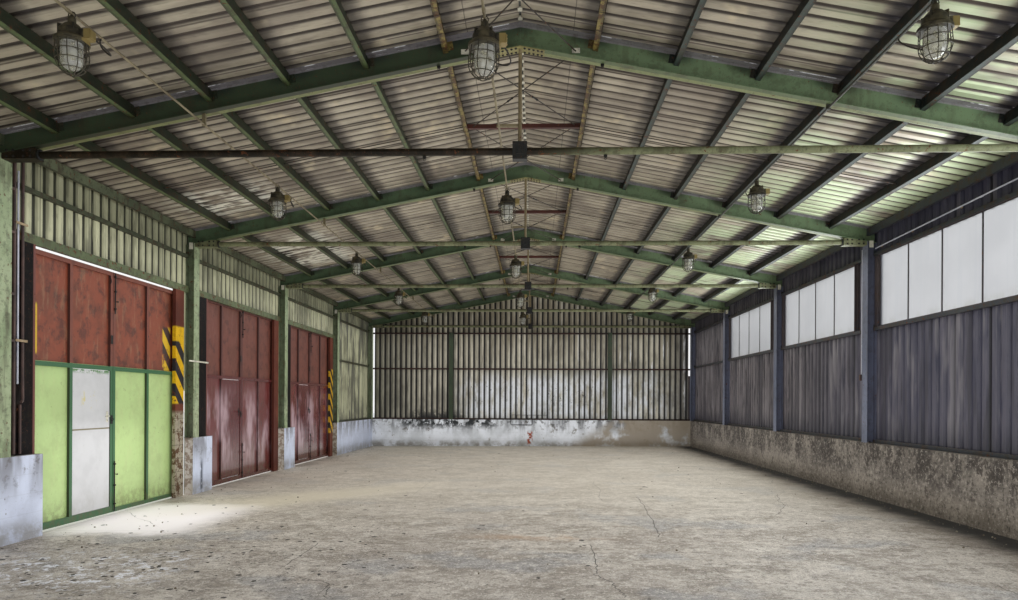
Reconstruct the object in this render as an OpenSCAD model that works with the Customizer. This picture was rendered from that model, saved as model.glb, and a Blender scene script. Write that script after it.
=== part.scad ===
// Steel-framed factory hall: six bays, pitched ribbed-sheet roof, three pairs of
// swing gates with wicket doors on the left side and window bands on the right.
// X runs across the hall, Y along it, Z up from the underside of the floor slab.

/* [Hall] */
// Clear width between the inner faces of the plinth walls
span = 12000; // [9000:100:14000]
// Distance between two frames
bay = 4700; // [4200:100:5200]
// Number of bays along the hall
bay_count = 6; // [5:1:6]
// Thickness of the floor slab at the window side
floor_t = 150; // [130:10:300]
// Fall of the floor from the window side to the gate side
floor_fall = 80; // [0:5:90]
// Height of the rafter underside at the ridge, above the floor's high side
ridge_under = 5650; // [5200:50:6400]
// Slope of the roof in degrees
slope = 11; // [8:0.5:14]

/* [Plinth] */
// Height of the concrete plinth and of the blocks between the gates
plinth_h = 950; // [600:10:1200]
// Thickness of the plinth walls
plinth_t = 200; // [150:10:300]
// Depth of the blocks between the gates
block_t = 150; // [100:5:150]
// Reach of a block in front of its frame
block_front = 120; // [100:5:200]
// Reach of a block behind the start of the gate opening
block_cover = 160; // [100:5:200]

/* [Frames] */
// Flange width of rafters
flange_w = 150; // [120:5:200]
// Flange width of columns
column_w = 200; // [150:5:200]
// Flange thickness
flange_t = 10; // [6:1:14]
// Web thickness
web_t = 8; // [5:1:12]
// Depth of a column section
column_d = 160; // [120:5:200]
// Depth of a rafter, measured square to the slope
rafter_d = 270; // [220:5:320]
// Drop of the tie tube's axis under the rafters' ridge
tie_drop = 1170; // [1050:10:1250]
// Outer diameter of the tie tube
tie_dia = 84; // [60:1:110]
// Length of the bracket at each end of a tie
tie_bracket = 400; // [200:10:600]
// Outer diameter of the hanger tube at the ridge
hanger_dia = 42; // [30:1:70]
// Half length of a ridge splice plate along the roof
splice_half = 275; // [150:5:400]

/* [Roof] */
// Distance of the first purlin from the ridge, along the slope
purlin_first = 840; // [700:10:900]
// Distance between purlins along the slope
purlin_step = 925; // [800:5:950]
// Number of purlins on one slope
purlin_count = 6; // [5:1:6]
// Depth of a purlin
purlin_d = 140; // [100:5:150]
// Flange width of a purlin
purlin_w = 60; // [40:1:80]
// Steel thickness of purlins, rails and lintels
channel_t = 5; // [3:1:8]
// Roof overhang at the eaves, measured across the hall
eaves_out = 110; // [60:10:200]
// Diameter of sag rods and bracing rods
rod_dia = 14; // [10:1:20]
// Diameter of the strut across the ridge
strut_d = 60; // [40:5:80]

/* [Ribbed sheet] */
// Distance from rib to rib
rib_pitch = 200; // [150:10:300]
// Height of a rib
rib_h = 35; // [20:1:50]
// Width of the flat pan between ribs
rib_pan = 90; // [60:5:110]
// Width of a rib's flat crest
rib_crest = 60; // [40:5:80]
// Thickness of the sheet
sheet_t = 4; // [2:0.5:6]

/* [Walls] */
// Height of the lower side wall rail's middle above the floor
rail_low = 2940; // [2600:5:3000]
// Height of the upper side wall rail's middle above the floor
rail_high = 4240; // [4100:2:4300]
// Height of the lower gable rail's middle above the floor
gable_rail_low = 2870; // [2600:5:3000]
// Height of the upper gable rail's middle above the floor
gable_rail_high = 4216; // [4100:2:4300]
// Height of a wall rail
rail_h = 56; // [40:2:120]
// Depth of a wall rail
rail_d = 60; // [40:5:80]
// Distance of the gable columns from the hall's middle
gable_column_x = 3000; // [2400:50:3600]
// Flange width of a gable column
gable_column_w = 150; // [120:10:240]
// Open slit between a gable sheet and the corner
corner_slit = 55; // [0:5:80]
// Distance from a frame to the front end of its window band
window_front = 645; // [500:5:900]
// Distance from the rear end of a window band to the next frame
window_rear = 255; // [200:5:600]
// Number of panes in a window band
pane_count = 4; // [3:1:5]
// Width of the bars of a window frame
window_bar = 20; // [15:1:50]

/* [Gates] */
// Distance from a frame to the gate opening behind it
gate_front = 490; // [440:10:700]
// Distance from a gate opening to the frame behind it
gate_rear = 380; // [350:10:600]
// Height of a gate opening above the floor's high side
gate_h = 3580; // [3200:20:3700]
// Height of the lintel channel over a gate
lintel_h = 115; // [80:5:180]
// Depth of a gate leaf's frame bars
leaf_frame_d = 40; // [30:1:42]
// Thickness of a leaf's outer plate
leaf_plate_t = 4; // [2:1:6]
// Width of a leaf's frame bars
leaf_bar = 60; // [40:5:80]
// Gap under a leaf
leaf_lift = 20; // [10:1:40]
// Open slit over the leaves of the first gate
top_slit = 28; // [0:1:40]
// Reach of the other leaves over their lintel
top_cover = 30; // [10:1:40]
// Height of the leaf's middle rail above the floor's high side
leaf_mid_z = 2100; // [2000:10:2400]
// Distance of a leaf's upright bar from the middle of the gate
wicket_reach = 935; // [850:5:1100]

/* [Hidden] */
$fn = 32;

// Places derived from the driving sizes
half = span / 2;
length = bay * bay_count;
floor_left = floor_t - floor_fall;
gate_w = bay - gate_front - gate_rear;
window_w = bay - window_front - window_rear;
rise = tan(slope);
steep = 1 / cos(slope);
frames = [for (i = [0:bay_count]) i * bay - length / 2];
gate_bays = [2, 3, 4];
window_bays = [1, 2, 3, 4];
column_out = half + column_d;
sheet_in = column_out;
sheet_out = sheet_in + rib_h + sheet_t;
plinth_step = 40;
plinth_out = half + plinth_t + plinth_step;
gable_set = 50;
gable_in = length / 2 - gable_set;
gable_sheet_in = length / 2 + column_w / 2;
gable_out = gable_in + plinth_t + plinth_step;
tie_z = ridge_under - tie_drop;
roof_under_ridge = floor_t + ridge_under + rafter_d * steep;
eaves_x = sheet_out + eaves_out;
clear = 0.3;

// Height of the rafter underside at a distance from the hall's middle
function under(x) = floor_t + ridge_under - rise * abs(x);
// Height of the roof sheet's underside
function roof_under(x) = roof_under_ridge - rise * abs(x);
// Middle of a bay, and of the gate in it
function bay_mid(i) = frames[i] + bay / 2;
function gate_mid(i) = frames[i] + gate_front + gate_w / 2;

// Extrudes an outline drawn in X and Z along Y, centred on y
module across(y, width) {
    translate([0, y + width / 2, 0])
        rotate([90, 0, 0])
            linear_extrude(width) children();
}

// A plate parallel to the roof between two distances from the middle;
// low and high are measured upright from the rafter underside
module slope_plate(x0, x1, low, high, y, width) {
    across(y, width)
        polygon([
            [x0, under(x0) + low], [x1, under(x1) + low],
            [x1, under(x1) + high], [x0, under(x0) + high]
        ]);
}

// Puts children on the right-hand slope: X runs down the slope from the
// ridge, Z square to it from the rafter underside
module on_slope() {
    translate([0, 0, floor_t + ridge_under])
        rotate([0, slope, 0]) children();
}

// Repeats children mirrored on the other side of the hall
module both_sides() {
    children();
    mirror([1, 0, 0]) children();
}

module block(low, high) {
    translate(low) cube(high - low);
}

// Outline of a channel: back along the second axis, flanges pointing to +
module channel_outline(depth, width, thick) {
    polygon([
        [0, 0], [width, 0], [width, thick], [thick, thick],
        [thick, depth - thick], [width, depth - thick], [width, depth], [0, depth]
    ]);
}

// Outline of an I-section standing on the first axis
module i_outline(depth, width, flange, web) {
    translate([0, -width / 2]) square([flange, width]);
    translate([depth - flange, -width / 2]) square([flange, width]);
    translate([0, -web / 2]) square([depth, web]);
}

// Width of one sloping side of a rib
rib_side = (rib_pitch - rib_pan - rib_crest) / 2;

// Broken line of a ribbed sheet, with half a pan at both ends
function rib_line(start, count, base) = [
    [start, base],
    for (i = [0:count - 1]) let (foot = start + i * rib_pitch + rib_pan / 2) each [
        [foot, base],
        [foot + rib_side, base + rib_h],
        [foot + rib_side + rib_crest, base + rib_h],
        [foot + 2 * rib_side + rib_crest, base]
    ],
    [start + count * rib_pitch, base]
];

function backwards(points) = [for (i = [len(points) - 1:-1:0]) points[i]];

module rib_outline(start, count) {
    polygon(concat(rib_line(start, count, 0), backwards(rib_line(start, count, sheet_t))));
}

// Upright ribbed sheet on a side wall, ribs pointing outwards
module side_sheet(start, count, low, high) {
    translate([sheet_in, 0, low])
        mirror([1, -1, 0])
            linear_extrude(high - low) rib_outline(start, count);
}

plinth_top = floor_t + plinth_h;

// The floor is level outside the clear width and falls to the gate side
module floor_slab() {
    color("darkgray")
        across(0, 2 * gable_out)
            polygon([
                [-plinth_out, 0], [plinth_out, 0], [plinth_out, floor_t],
                [half, floor_t], [-half, floor_left], [-plinth_out, floor_left]
            ]);
}

module plinth_run(y0, y1, foot) {
    block([half, y0, foot], [plinth_out, y1, plinth_top]);
}

// A block between two gates, or behind the first gate's front frame
module plinth_block(y0, y1) {
    block([half, y0, floor_left], [half + block_t, y1, plinth_top]);
}

gate_first = gate_bays[0];
gate_last = gate_bays[len(gate_bays) - 1];

module plinth_left() {
    color("lightgray")
        mirror([1, 0, 0]) {
            plinth_run(-gable_in, frames[gate_first], floor_left);
            plinth_block(frames[gate_first], frames[gate_first] + gate_front + block_cover);
            for (i = [gate_first + 1:gate_last])
                plinth_block(frames[i] - block_front, frames[i] + gate_front + block_cover);
            plinth_run(frames[gate_last + 1] - block_front, gable_in, floor_left);
        }
}

module plinth_right() {
    color("gray") plinth_run(-gable_in, gable_in, floor_t);
}

module plinth_gables() {
    color("lightgray")
        for (side = [-1, 1])
            across(side * (gable_in + gable_out) / 2, gable_out - gable_in)
                polygon([
                    [-plinth_out, floor_left], [-half, floor_left], [half, floor_t],
                    [plinth_out, floor_t], [plinth_out, plinth_top], [-plinth_out, plinth_top]
                ]);
}

// A column from the plinth top to the underside of its rafter
module column(y, foot) {
    difference() {
        translate([half, y, floor_t + foot])
            linear_extrude(ridge_under - foot)
                i_outline(column_d, column_w, flange_t, web_t);
        across(y, column_w + 2)
            polygon([
                [half - 1, under(half - 1)], [column_out + 1, under(column_out + 1)],
                [column_out + 1, floor_t + ridge_under + 1],
                [half - 1, floor_t + ridge_under + 1]
            ]);
    }
}

module columns_left() {
    color("darkseagreen")
        mirror([1, 0, 0])
            for (y = frames) column(y, plinth_h);
}

module columns_right() {
    color("darkseagreen")
        for (y = frames) column(y, plinth_h);
}

gable_column_d = gable_sheet_in - gable_in;
gable_column_top = gable_rail_high + rail_h / 2;

module gable_columns() {
    color("mediumseagreen")
        for (side = [0, 1], x = [-gable_column_x, gable_column_x])
            mirror([0, side, 0])
                translate([x, gable_in, floor_t + plinth_h])
                    linear_extrude(gable_column_top - plinth_h)
                        rotate(90)
                            i_outline(gable_column_d, gable_column_w, flange_t, web_t);
}

rafter_v = rafter_d * steep;
flange_v = flange_t * steep;

module rafter(y) {
    slope_plate(clear / 2, column_out, 0, flange_v, y, flange_w);
    slope_plate(clear / 2, column_out, rafter_v - flange_v, rafter_v, y, flange_w);
    slope_plate(clear / 2, column_out, flange_v, rafter_v - flange_v, y, web_t);
}

module rafters() {
    color("seagreen")
        both_sides()
            for (y = frames) rafter(y);
}

splice_t = 10;
splice_low = splice_t + clear;

module ridge_splices() {
    color("olivedrab")
        for (y = frames)
            across(y, flange_w)
                polygon([
                    [0, under(0) - clear], [splice_half, under(splice_half) - clear],
                    [splice_half, under(splice_half) - splice_low],
                    [0, under(0) - splice_low],
                    [-splice_half, under(splice_half) - splice_low],
                    [-splice_half, under(splice_half) - clear]
                ]);
}

// A lying tube along X
module tube_x(x0, x1, y, z, dia) {
    translate([x0, y, z]) rotate([0, 90, 0]) cylinder(h = x1 - x0, d = dia);
}

tie_bracket_h = 120;

module ties() {
    color("darkolivegreen")
        for (y = frames) {
            tube_x(-half + tie_bracket / 2, half - tie_bracket / 2, y, floor_t + tie_z, tie_dia);
            both_sides()
                difference() {
                    block([half - tie_bracket, y - flange_w / 2, floor_t + tie_z - tie_bracket_h / 2],
                        [half, y + flange_w / 2, floor_t + tie_z + tie_bracket_h / 2]);
                    across(y, flange_w + 2)
                        polygon([
                            [half - tie_bracket - 1, under(half - tie_bracket - 1)],
                            [half + 1, under(half + 1)],
                            [half + 1, floor_t + ridge_under],
                            [half - tie_bracket - 1, floor_t + ridge_under]
                        ]);
                }
        }
}

clamp_w = 165;
clamp_h = 200;
clamp_d = 110;

module hanger_clamps() {
    color("darkslategray")
        for (y = frames)
            difference() {
                translate([-clamp_w / 2, y - clamp_d / 2, floor_t + tie_z - clamp_h / 2])
                    cube([clamp_w, clamp_d, clamp_h]);
                tube_x(-clamp_w, clamp_w, y, floor_t + tie_z, tie_dia + 2 * clear);
            }
}

module hangers() {
    color("darkkhaki")
        for (y = frames)
            difference() {
                translate([0, y, floor_t + tie_z + clamp_h / 2])
                    cylinder(h = ridge_under - tie_z - clamp_h / 2, d = hanger_dia);
                across(y, flange_w)
                    polygon([
                        [0, under(0) - splice_low - clear],
                        [hanger_dia, under(hanger_dia) - splice_low - clear],
                        [hanger_dia, under(0) + splice_t],
                        [-hanger_dia, under(0) + splice_t],
                        [-hanger_dia, under(hanger_dia) - splice_low - clear]
                    ]);
            }
}

purlin_base = rafter_d - flange_t - clear - purlin_d;
purlin_mid = purlin_base + purlin_d / 2;
function purlin_s(k) = purlin_first + k * purlin_step;

// One slope's purlins, channels between the rafter webs, open down the slope
module purlins() {
    on_slope()
        for (i = [0:bay_count - 1], k = [0:purlin_count - 1])
            translate([purlin_s(k) - purlin_w / 2, frames[i + 1] - web_t / 2, purlin_base])
                rotate([90, 0, 0])
                    linear_extrude(bay - web_t)
                        channel_outline(purlin_d, purlin_w, channel_t);
}

module purlins_left() {
    color("olivedrab") mirror([1, 0, 0]) purlins();
}

module purlins_right() {
    color("darkolivegreen") purlins();
}

eaves_beam_h = 125;
eaves_beam_set = 20;
eaves_beam_gap = 15;
eaves_beam_x = half + eaves_beam_set;
eaves_beam_top = roof_under(eaves_beam_x + rail_d) - flange_v - eaves_beam_gap;

module eaves_beams() {
    color("seagreen")
        both_sides()
            for (i = [0:bay_count - 1])
                translate([eaves_beam_x, frames[i + 1] - web_t / 2, eaves_beam_top - eaves_beam_h])
                    rotate([90, 0, 0])
                        linear_extrude(bay - web_t)
                            channel_outline(eaves_beam_h, rail_d, channel_t);
}

// Distance from the middle of the first purlin's back at a height
purlin_back = purlin_first - purlin_w / 2;
function back_x(z) = purlin_back * cos(slope)
    + (z - floor_t - ridge_under + purlin_back * sin(slope)) * tan(slope);
strut_z = under(purlin_first) + purlin_mid * cos(slope);
strut_low = strut_z - strut_d / 2;
strut_high = strut_z + strut_d / 2;

module ridge_struts() {
    color("saddlebrown")
        for (i = [0:bay_count - 1])
            across(bay_mid(i), strut_d)
                polygon([
                    [-back_x(strut_low), strut_low], [back_x(strut_low), strut_low],
                    [back_x(strut_high), strut_high], [-back_x(strut_high), strut_high]
                ]);
}

// Place of a bracing rod's ends, on the strut and on the rafter web
brace_strut_x = 740;
brace_rafter_x = 630;
brace_rise = 90;
brace_rafter_z = under(brace_rafter_x) + brace_rise;
brace_spread = rod_dia / 2 + 1;

// A rod from one point to another, cut square to the hall at both ends
module brace_rod(from, to) {
    run = to - from;
    flat = norm([run[0], run[1]]);
    spare = 4 * rod_dia;
    intersection() {
        translate(from)
            rotate([0, 90 - atan2(run[2], flat), atan2(run[1], run[0])])
                translate([0, 0, -spare])
                    cylinder(h = norm(run) + 2 * spare, d = rod_dia, $fn = 16);
        block([-half, min(from[1], to[1]), floor_t], [half, max(from[1], to[1]), roof_under_ridge]);
    }
}

// Crossed rods in the roof plane beside the ridge, two pairs in each bay
module roof_bracing() {
    color("dimgray")
        for (i = [0:bay_count - 1], end = [-1, 1], way = [-1, 1])
            brace_rod(
                [way * brace_strut_x, bay_mid(i) + end * strut_d / 2, strut_z + way * brace_spread],
                [-way * brace_rafter_x, bay_mid(i) + end * (bay - web_t) / 2,
                    brace_rafter_z + way * brace_spread]);
}

// Rods between the purlin webs in the middle of each bay
module sag_rods() {
    color("dimgray")
        both_sides()
            on_slope()
                for (i = [0:bay_count - 1], k = [0:purlin_count - 2])
                    translate([purlin_s(k) - purlin_w / 2 + channel_t, bay_mid(i), purlin_mid])
                        rotate([0, 90, 0])
                            cylinder(h = purlin_step - channel_t, d = rod_dia, $fn = 16);
}

rail_in = column_out - rail_d;

// A channel rail between two columns of a side wall, open outwards
module side_rail(i, middle, height) {
    translate([rail_in, frames[i + 1] - column_w / 2, floor_t + middle - height / 2])
        rotate([90, 0, 0])
            linear_extrude(bay - column_w)
                channel_outline(height, rail_d, channel_t);
}

function has(list, value) = len([for (v = list) if (v == value) v]) > 0;

module side_rails() {
    color("seagreen") {
        for (i = [0:bay_count - 1]) {
            side_rail(i, rail_low, rail_h);
            side_rail(i, rail_high, rail_h);
            side_rail(i, plinth_h + rail_h / 2, rail_h);
        }
        mirror([1, 0, 0])
            for (i = [0:bay_count - 1]) {
                side_rail(i, rail_high, rail_h);
                if (!has(gate_bays, i)) {
                    side_rail(i, rail_low, rail_h);
                    side_rail(i, plinth_h + rail_h / 2, rail_h);
                }
            }
    }
}

gable_rail_in = gable_sheet_in - rail_d;
gable_rail_edges = [
    -half, -gable_column_x - gable_column_w / 2, -gable_column_x + gable_column_w / 2,
    gable_column_x - gable_column_w / 2, gable_column_x + gable_column_w / 2, half
];

module gable_rails() {
    color("seagreen")
        for (side = [0, 1], part = [0, 2, 4],
                middle = [plinth_h + rail_h / 2, gable_rail_low, gable_rail_high])
            mirror([0, side, 0])
                translate([gable_rail_edges[part], gable_rail_in, floor_t + middle - rail_h / 2])
                    rotate([90, 0, 90])
                        linear_extrude(gable_rail_edges[part + 1] - gable_rail_edges[part])
                            channel_outline(rail_h, rail_d, channel_t);
}

module gate_lintels() {
    color("seagreen")
        mirror([1, 0, 0])
            for (i = gate_bays)
                side_rail(i, gate_h + lintel_h / 2, lintel_h);
}

// Gate places: x is measured outwards, the hall's left side is mirrored
leaf_gap = 8;
leaf_in = column_out + leaf_gap;
leaf_out = leaf_in + leaf_frame_d + leaf_plate_t;
hinge_r = 12;
pin_r = 6;
hinge_off = 18;
hinge_x = leaf_out + hinge_off;
knuckle_h = 50;
strap_l = 260;
strap_h = 40;
meeting_gap = 8;
leaf_low = floor_left + leaf_lift;
function leaf_high(i) = floor_t + gate_h + (i == gate_first ? -top_slit : top_cover);
post_d = 60;
front_post_cover = 150;
rear_post_cover = 180;
rear_post_gap = 270;
post_in = column_out - post_d;
hinge_drop = 430;
hinge_heights = [450, 1750, gate_h - hinge_drop];
wicket_hinge_drop = 350;
wicket_hinge_heights = [500, leaf_mid_z - wicket_hinge_drop];
pin_end = 5;
arm_w = 40;
arm_gap = 6;

// The fixed half of a hinge: a knuckle with its pin, and an arm to the post;
// way points from the hinge towards the leaf
module fixed_hinge(y, z, way) {
    translate([hinge_x, y, z]) {
        cylinder(h = knuckle_h, r = hinge_r);
        cylinder(h = 2 * knuckle_h - pin_end, r = pin_r);
    }
    root = way > 0 && z < plinth_top ? half + block_t : post_in;
    ends = [y - way * arm_w, y - way * arm_gap];
    block([root, min(ends), z], [hinge_x, max(ends), z + knuckle_h]);
}

// The moving half: knuckle and strap on the outer face of a leaf
module leaf_hinge(y, z, way) {
    difference() {
        union() {
            translate([hinge_x, y, z + knuckle_h + clear])
                cylinder(h = knuckle_h, r = hinge_r);
            block([hinge_x - hinge_off, min(y, y + way * strap_l), z + knuckle_h + clear],
                [hinge_x - hinge_off / 2, max(y, y + way * strap_l), z + knuckle_h + clear + strap_h]);
        }
        translate([hinge_x, y, z])
            cylinder(h = 3 * knuckle_h, r = pin_r + clear);
    }
}

// The post from the front frame's block to the gate, and the one behind the gate
module gate_posts() {
    color("saddlebrown")
        mirror([1, 0, 0])
            for (i = gate_bays) {
                block([post_in, frames[i] + column_w / 2, plinth_top],
                    [column_out, frames[i] + gate_front + front_post_cover, floor_t + gate_h]);
                block([post_in, frames[i + 1] - gate_rear - rear_post_cover, floor_left],
                    [column_out, frames[i + 1] - rear_post_gap, floor_t + gate_h]);
                for (h = hinge_heights) {
                    fixed_hinge(frames[i] + gate_front, floor_t + h, 1);
                    fixed_hinge(frames[i + 1] - gate_rear, floor_t + h, -1);
                }
            }
}

// A bar of a leaf between two corners, inside the outer plate
module leaf_bars(y0, y1, z0, z1, bars_y, bars_z) {
    block([leaf_out - leaf_plate_t, y0, z0], [leaf_out, y1, z1]);
    difference() {
        block([leaf_in, y0, z0], [leaf_out - leaf_plate_t, y1, z1]);
        block([leaf_in - 1, y0 + leaf_bar, z0 + leaf_bar],
            [leaf_out - leaf_plate_t, y1 - leaf_bar, z1 - leaf_bar]);
    }
    for (y = bars_y)
        block([leaf_in, y - leaf_bar / 2, z0], [leaf_out - leaf_plate_t, y + leaf_bar / 2, z1]);
    for (z = bars_z)
        block([leaf_in, y0, z - leaf_bar / 2], [leaf_out - leaf_plate_t, y1, z + leaf_bar / 2]);
}

wicket_gap = 6;
wicket_set = 10;
threshold_h = 90;
wicket_low = leaf_low + threshold_h;
wicket_high = floor_t + leaf_mid_z - leaf_bar / 2;

// Edges of the wicket doorway in the leaf of a gate
function wicket_from(i) = gate_mid(i) - wicket_reach;
function wicket_to(i) = gate_mid(i) - meeting_gap / 2 - leaf_bar;

module left_leaf(i) {
    y0 = gate_mid(i) - gate_w / 2;
    y1 = gate_mid(i) - meeting_gap / 2;
    mirror([1, 0, 0]) {
        difference() {
            union() {
                leaf_bars(y0, y1, leaf_low, leaf_high(i),
                    [wicket_from(i) - leaf_bar / 2], [floor_t + leaf_mid_z]);
                block([leaf_in, y0, leaf_low], [leaf_out, y1, wicket_low]);
            }
            block([leaf_in - 1, wicket_from(i), wicket_low],
                [leaf_out + 1, wicket_to(i), wicket_high]);
        }
        for (h = hinge_heights) leaf_hinge(y0, floor_t + h, 1);
        for (h = wicket_hinge_heights) {
            translate([hinge_x, wicket_from(i) + wicket_gap, floor_t + h]) {
                cylinder(h = knuckle_h, r = hinge_r);
                cylinder(h = 2 * knuckle_h - pin_end, r = pin_r);
            }
            block([leaf_out, wicket_from(i) - arm_w, floor_t + h],
                [hinge_x, wicket_from(i), floor_t + h + knuckle_h]);
        }
    }
}

module right_leaf(i) {
    y0 = gate_mid(i) + meeting_gap / 2;
    y1 = gate_mid(i) + gate_w / 2;
    mirror([1, 0, 0]) {
        leaf_bars(y0, y1, leaf_low, leaf_high(i),
            [gate_mid(i) + wicket_reach + leaf_bar / 2], [floor_t + leaf_mid_z]);
        for (h = hinge_heights) leaf_hinge(y1, floor_t + h, -1);
    }
}

module wicket(i) {
    y0 = wicket_from(i) + wicket_gap;
    y1 = wicket_to(i) - wicket_gap;
    mirror([1, 0, 0]) {
        block([leaf_in + wicket_set, y0, wicket_low + wicket_gap],
            [leaf_out, y1, wicket_high - wicket_gap]);
        for (h = wicket_hinge_heights) leaf_hinge(y0, floor_t + h, 1);
    }
}

module gate1_left_leaf() { color("olivedrab") left_leaf(gate_bays[0]); }
module gate1_right_leaf() { color("olivedrab") right_leaf(gate_bays[0]); }
module gate1_wicket() { color("whitesmoke") wicket(gate_bays[0]); }
module gate2_left_leaf() { color("brown") left_leaf(gate_bays[1]); }
module gate2_right_leaf() { color("brown") right_leaf(gate_bays[1]); }
module gate2_wicket() { color("brown") wicket(gate_bays[1]); }
module gate3_left_leaf() { color("firebrick") left_leaf(gate_bays[2]); }
module gate3_right_leaf() { color("firebrick") right_leaf(gate_bays[2]); }
module gate3_wicket() { color("firebrick") wicket(gate_bays[2]); }

sheet_low = plinth_top;
sheet_high = roof_under(sheet_out) - 1;
sheet_count = round(length / rib_pitch);
sheet_start = -sheet_count * rib_pitch / 2;
front_count = floor((frames[gate_first] + column_w / 2 - sheet_start) / rib_pitch);
front_end = sheet_start + front_count * rib_pitch;
rear_count = ceil((-sheet_start - frames[gate_last + 1]) / rib_pitch);
rear_start = -sheet_start - rear_count * rib_pitch;
strip_lap = 20;
strip_front = rear_post_gap + strip_lap;
strip_slit_lap = 15;
strip_slit_front = column_w / 2 + strip_slit_lap;
strip_slit_drop = 300;
strip_slit_top = floor_t + leaf_mid_z - strip_slit_drop;
over_gap = 45;
over_low = floor_t + gate_h + over_gap;

// Flat sheet between a gate's rear post and a frame, with an open slit in
// its lower part
module gate_strip(i) {
    block([sheet_in, frames[i] - strip_slit_front, floor_left],
        [sheet_in + sheet_t, frames[i] + column_w / 2, strip_slit_top]);
    block([sheet_in, frames[i] - strip_front, strip_slit_top],
        [sheet_in + sheet_t, frames[i] + column_w / 2, over_low]);
}

module left_wall_sheets() {
    color("lightgreen")
        mirror([1, 0, 0]) {
            side_sheet(sheet_start, front_count, sheet_low, sheet_high);
            side_sheet(rear_start, rear_count, sheet_low, sheet_high);
            for (i = [gate_first + 1:gate_last]) gate_strip(i);
            block([sheet_in, frames[gate_last + 1] - strip_front, sheet_low],
                [sheet_in + sheet_t, rear_start - clear, over_low]);
            block([sheet_in, frames[gate_last + 1] - strip_front, floor_left],
                [sheet_in + sheet_t, frames[gate_last + 1] - block_front - clear, sheet_low]);
        }
}

module left_wall_over_gates() {
    color("lightgreen")
        mirror([1, 0, 0])
            side_sheet(front_end, round((rear_start - front_end) / rib_pitch), over_low, sheet_high);
}

window_low = floor_t + rail_low + rail_h / 2;
window_high = floor_t + rail_high - rail_h / 2;

module right_wall_sheet() {
    color("slategray")
        difference() {
            side_sheet(sheet_start, sheet_count, sheet_low, sheet_high);
            for (i = window_bays)
                block([sheet_in - 1, frames[i] + window_front, window_low],
                    [sheet_out + 1, frames[i + 1] - window_rear, window_high]);
        }
}

gable_sheet_count = floor(span / rib_pitch);
gable_sheet_half = half - corner_slit;
// The sheet's top leaves a thin open wedge under the roof beside the corners
gable_gap = 26;
gable_gap_run = 1400;
gable_gap_x = half - gable_gap_run;

module gable_sheets() {
    color("darkgray")
        for (side = [0, 1])
            mirror([0, side, 0])
                intersection() {
                    translate([0, gable_sheet_in, sheet_low])
                        linear_extrude(ridge_under + rafter_v)
                            rib_outline(-gable_sheet_count * rib_pitch / 2, gable_sheet_count);
                    across(gable_sheet_in, 4 * rib_h)
                        polygon([
                            [-gable_sheet_half, sheet_low], [gable_sheet_half, sheet_low],
                            [gable_sheet_half, roof_under(gable_sheet_half) - gable_gap],
                            [gable_gap_x, roof_under(gable_gap_x) - 1],
                            [0, roof_under_ridge - 1],
                            [-gable_gap_x, roof_under(gable_gap_x) - 1],
                            [-gable_sheet_half, roof_under(gable_sheet_half) - gable_gap]
                        ]);
                }
}

gable_sheet_out = gable_sheet_in + rib_h + sheet_t;
corner_lap = 40;
corner_set = 30;

// Angles that close the corners of the sheet walls, with a narrow open slit
module corner_flashings() {
    color("darkgray")
        for (side = [0, 1])
            mirror([0, side, 0])
                both_sides() {
                    block([half + corner_set, gable_sheet_out, sheet_low],
                        [sheet_out + sheet_t, gable_sheet_out + sheet_t, sheet_high]);
                    block([sheet_out, length / 2 - corner_lap, sheet_low],
                        [sheet_out + sheet_t, gable_sheet_out + sheet_t, sheet_high]);
                }
}

roof_count = round(2 * gable_out / rib_pitch);
roof_start = -roof_count * rib_pitch / 2;
ridge_gap = 12;
roof_from = ridge_gap - rafter_d * rise;
roof_to = eaves_x * steep;

// One slope of the roof, ribs running down from the ridge
module roof_sheet() {
    on_slope()
        translate([roof_from, 0, rafter_d])
            rotate([90, 0, 90])
                linear_extrude(roof_to - roof_from) rib_outline(roof_start, roof_count);
}

module roof_sheet_left() {
    color("rosybrown") mirror([1, 0, 0]) roof_sheet();
}

module roof_sheet_right() {
    color("tan") roof_sheet();
}

cap_half = 260;
cap_low = (rafter_d + rib_h + sheet_t) * steep + clear;

module ridge_cap() {
    color("silver")
        across(0, -2 * roof_start)
            polygon([
                [0, under(0) + cap_low], [cap_half, under(cap_half) + cap_low],
                [cap_half, under(cap_half) + cap_low + sheet_t],
                [0, under(0) + cap_low + sheet_t],
                [-cap_half, under(cap_half) + cap_low + sheet_t],
                [-cap_half, under(cap_half) + cap_low]
            ]);
}

verge_h = 150;
verge_gap = 10;
verge_set = 30;
verge_end = eaves_x - verge_gap;

// Edge plates under the roof's ends
module verge_flashings() {
    color("silver")
        for (side = [0, 1])
            mirror([0, side, 0])
                both_sides()
                    across(-roof_start - verge_set, sheet_t)
                        polygon([
                            [verge_gap, roof_under(verge_gap) - verge_h],
                            [verge_end, roof_under(verge_end) - verge_h],
                            [verge_end, roof_under(verge_end)],
                            [verge_gap, roof_under(verge_gap)]
                        ]);
}

window_in = column_out - rail_d;
window_d = 16;
bar_in = (rail_d - window_d) / 2;
lining_d = rail_d - 4;
jamb_t = 6;
glass_t = 6;
pane_step = (window_w - window_bar) / pane_count;

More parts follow.
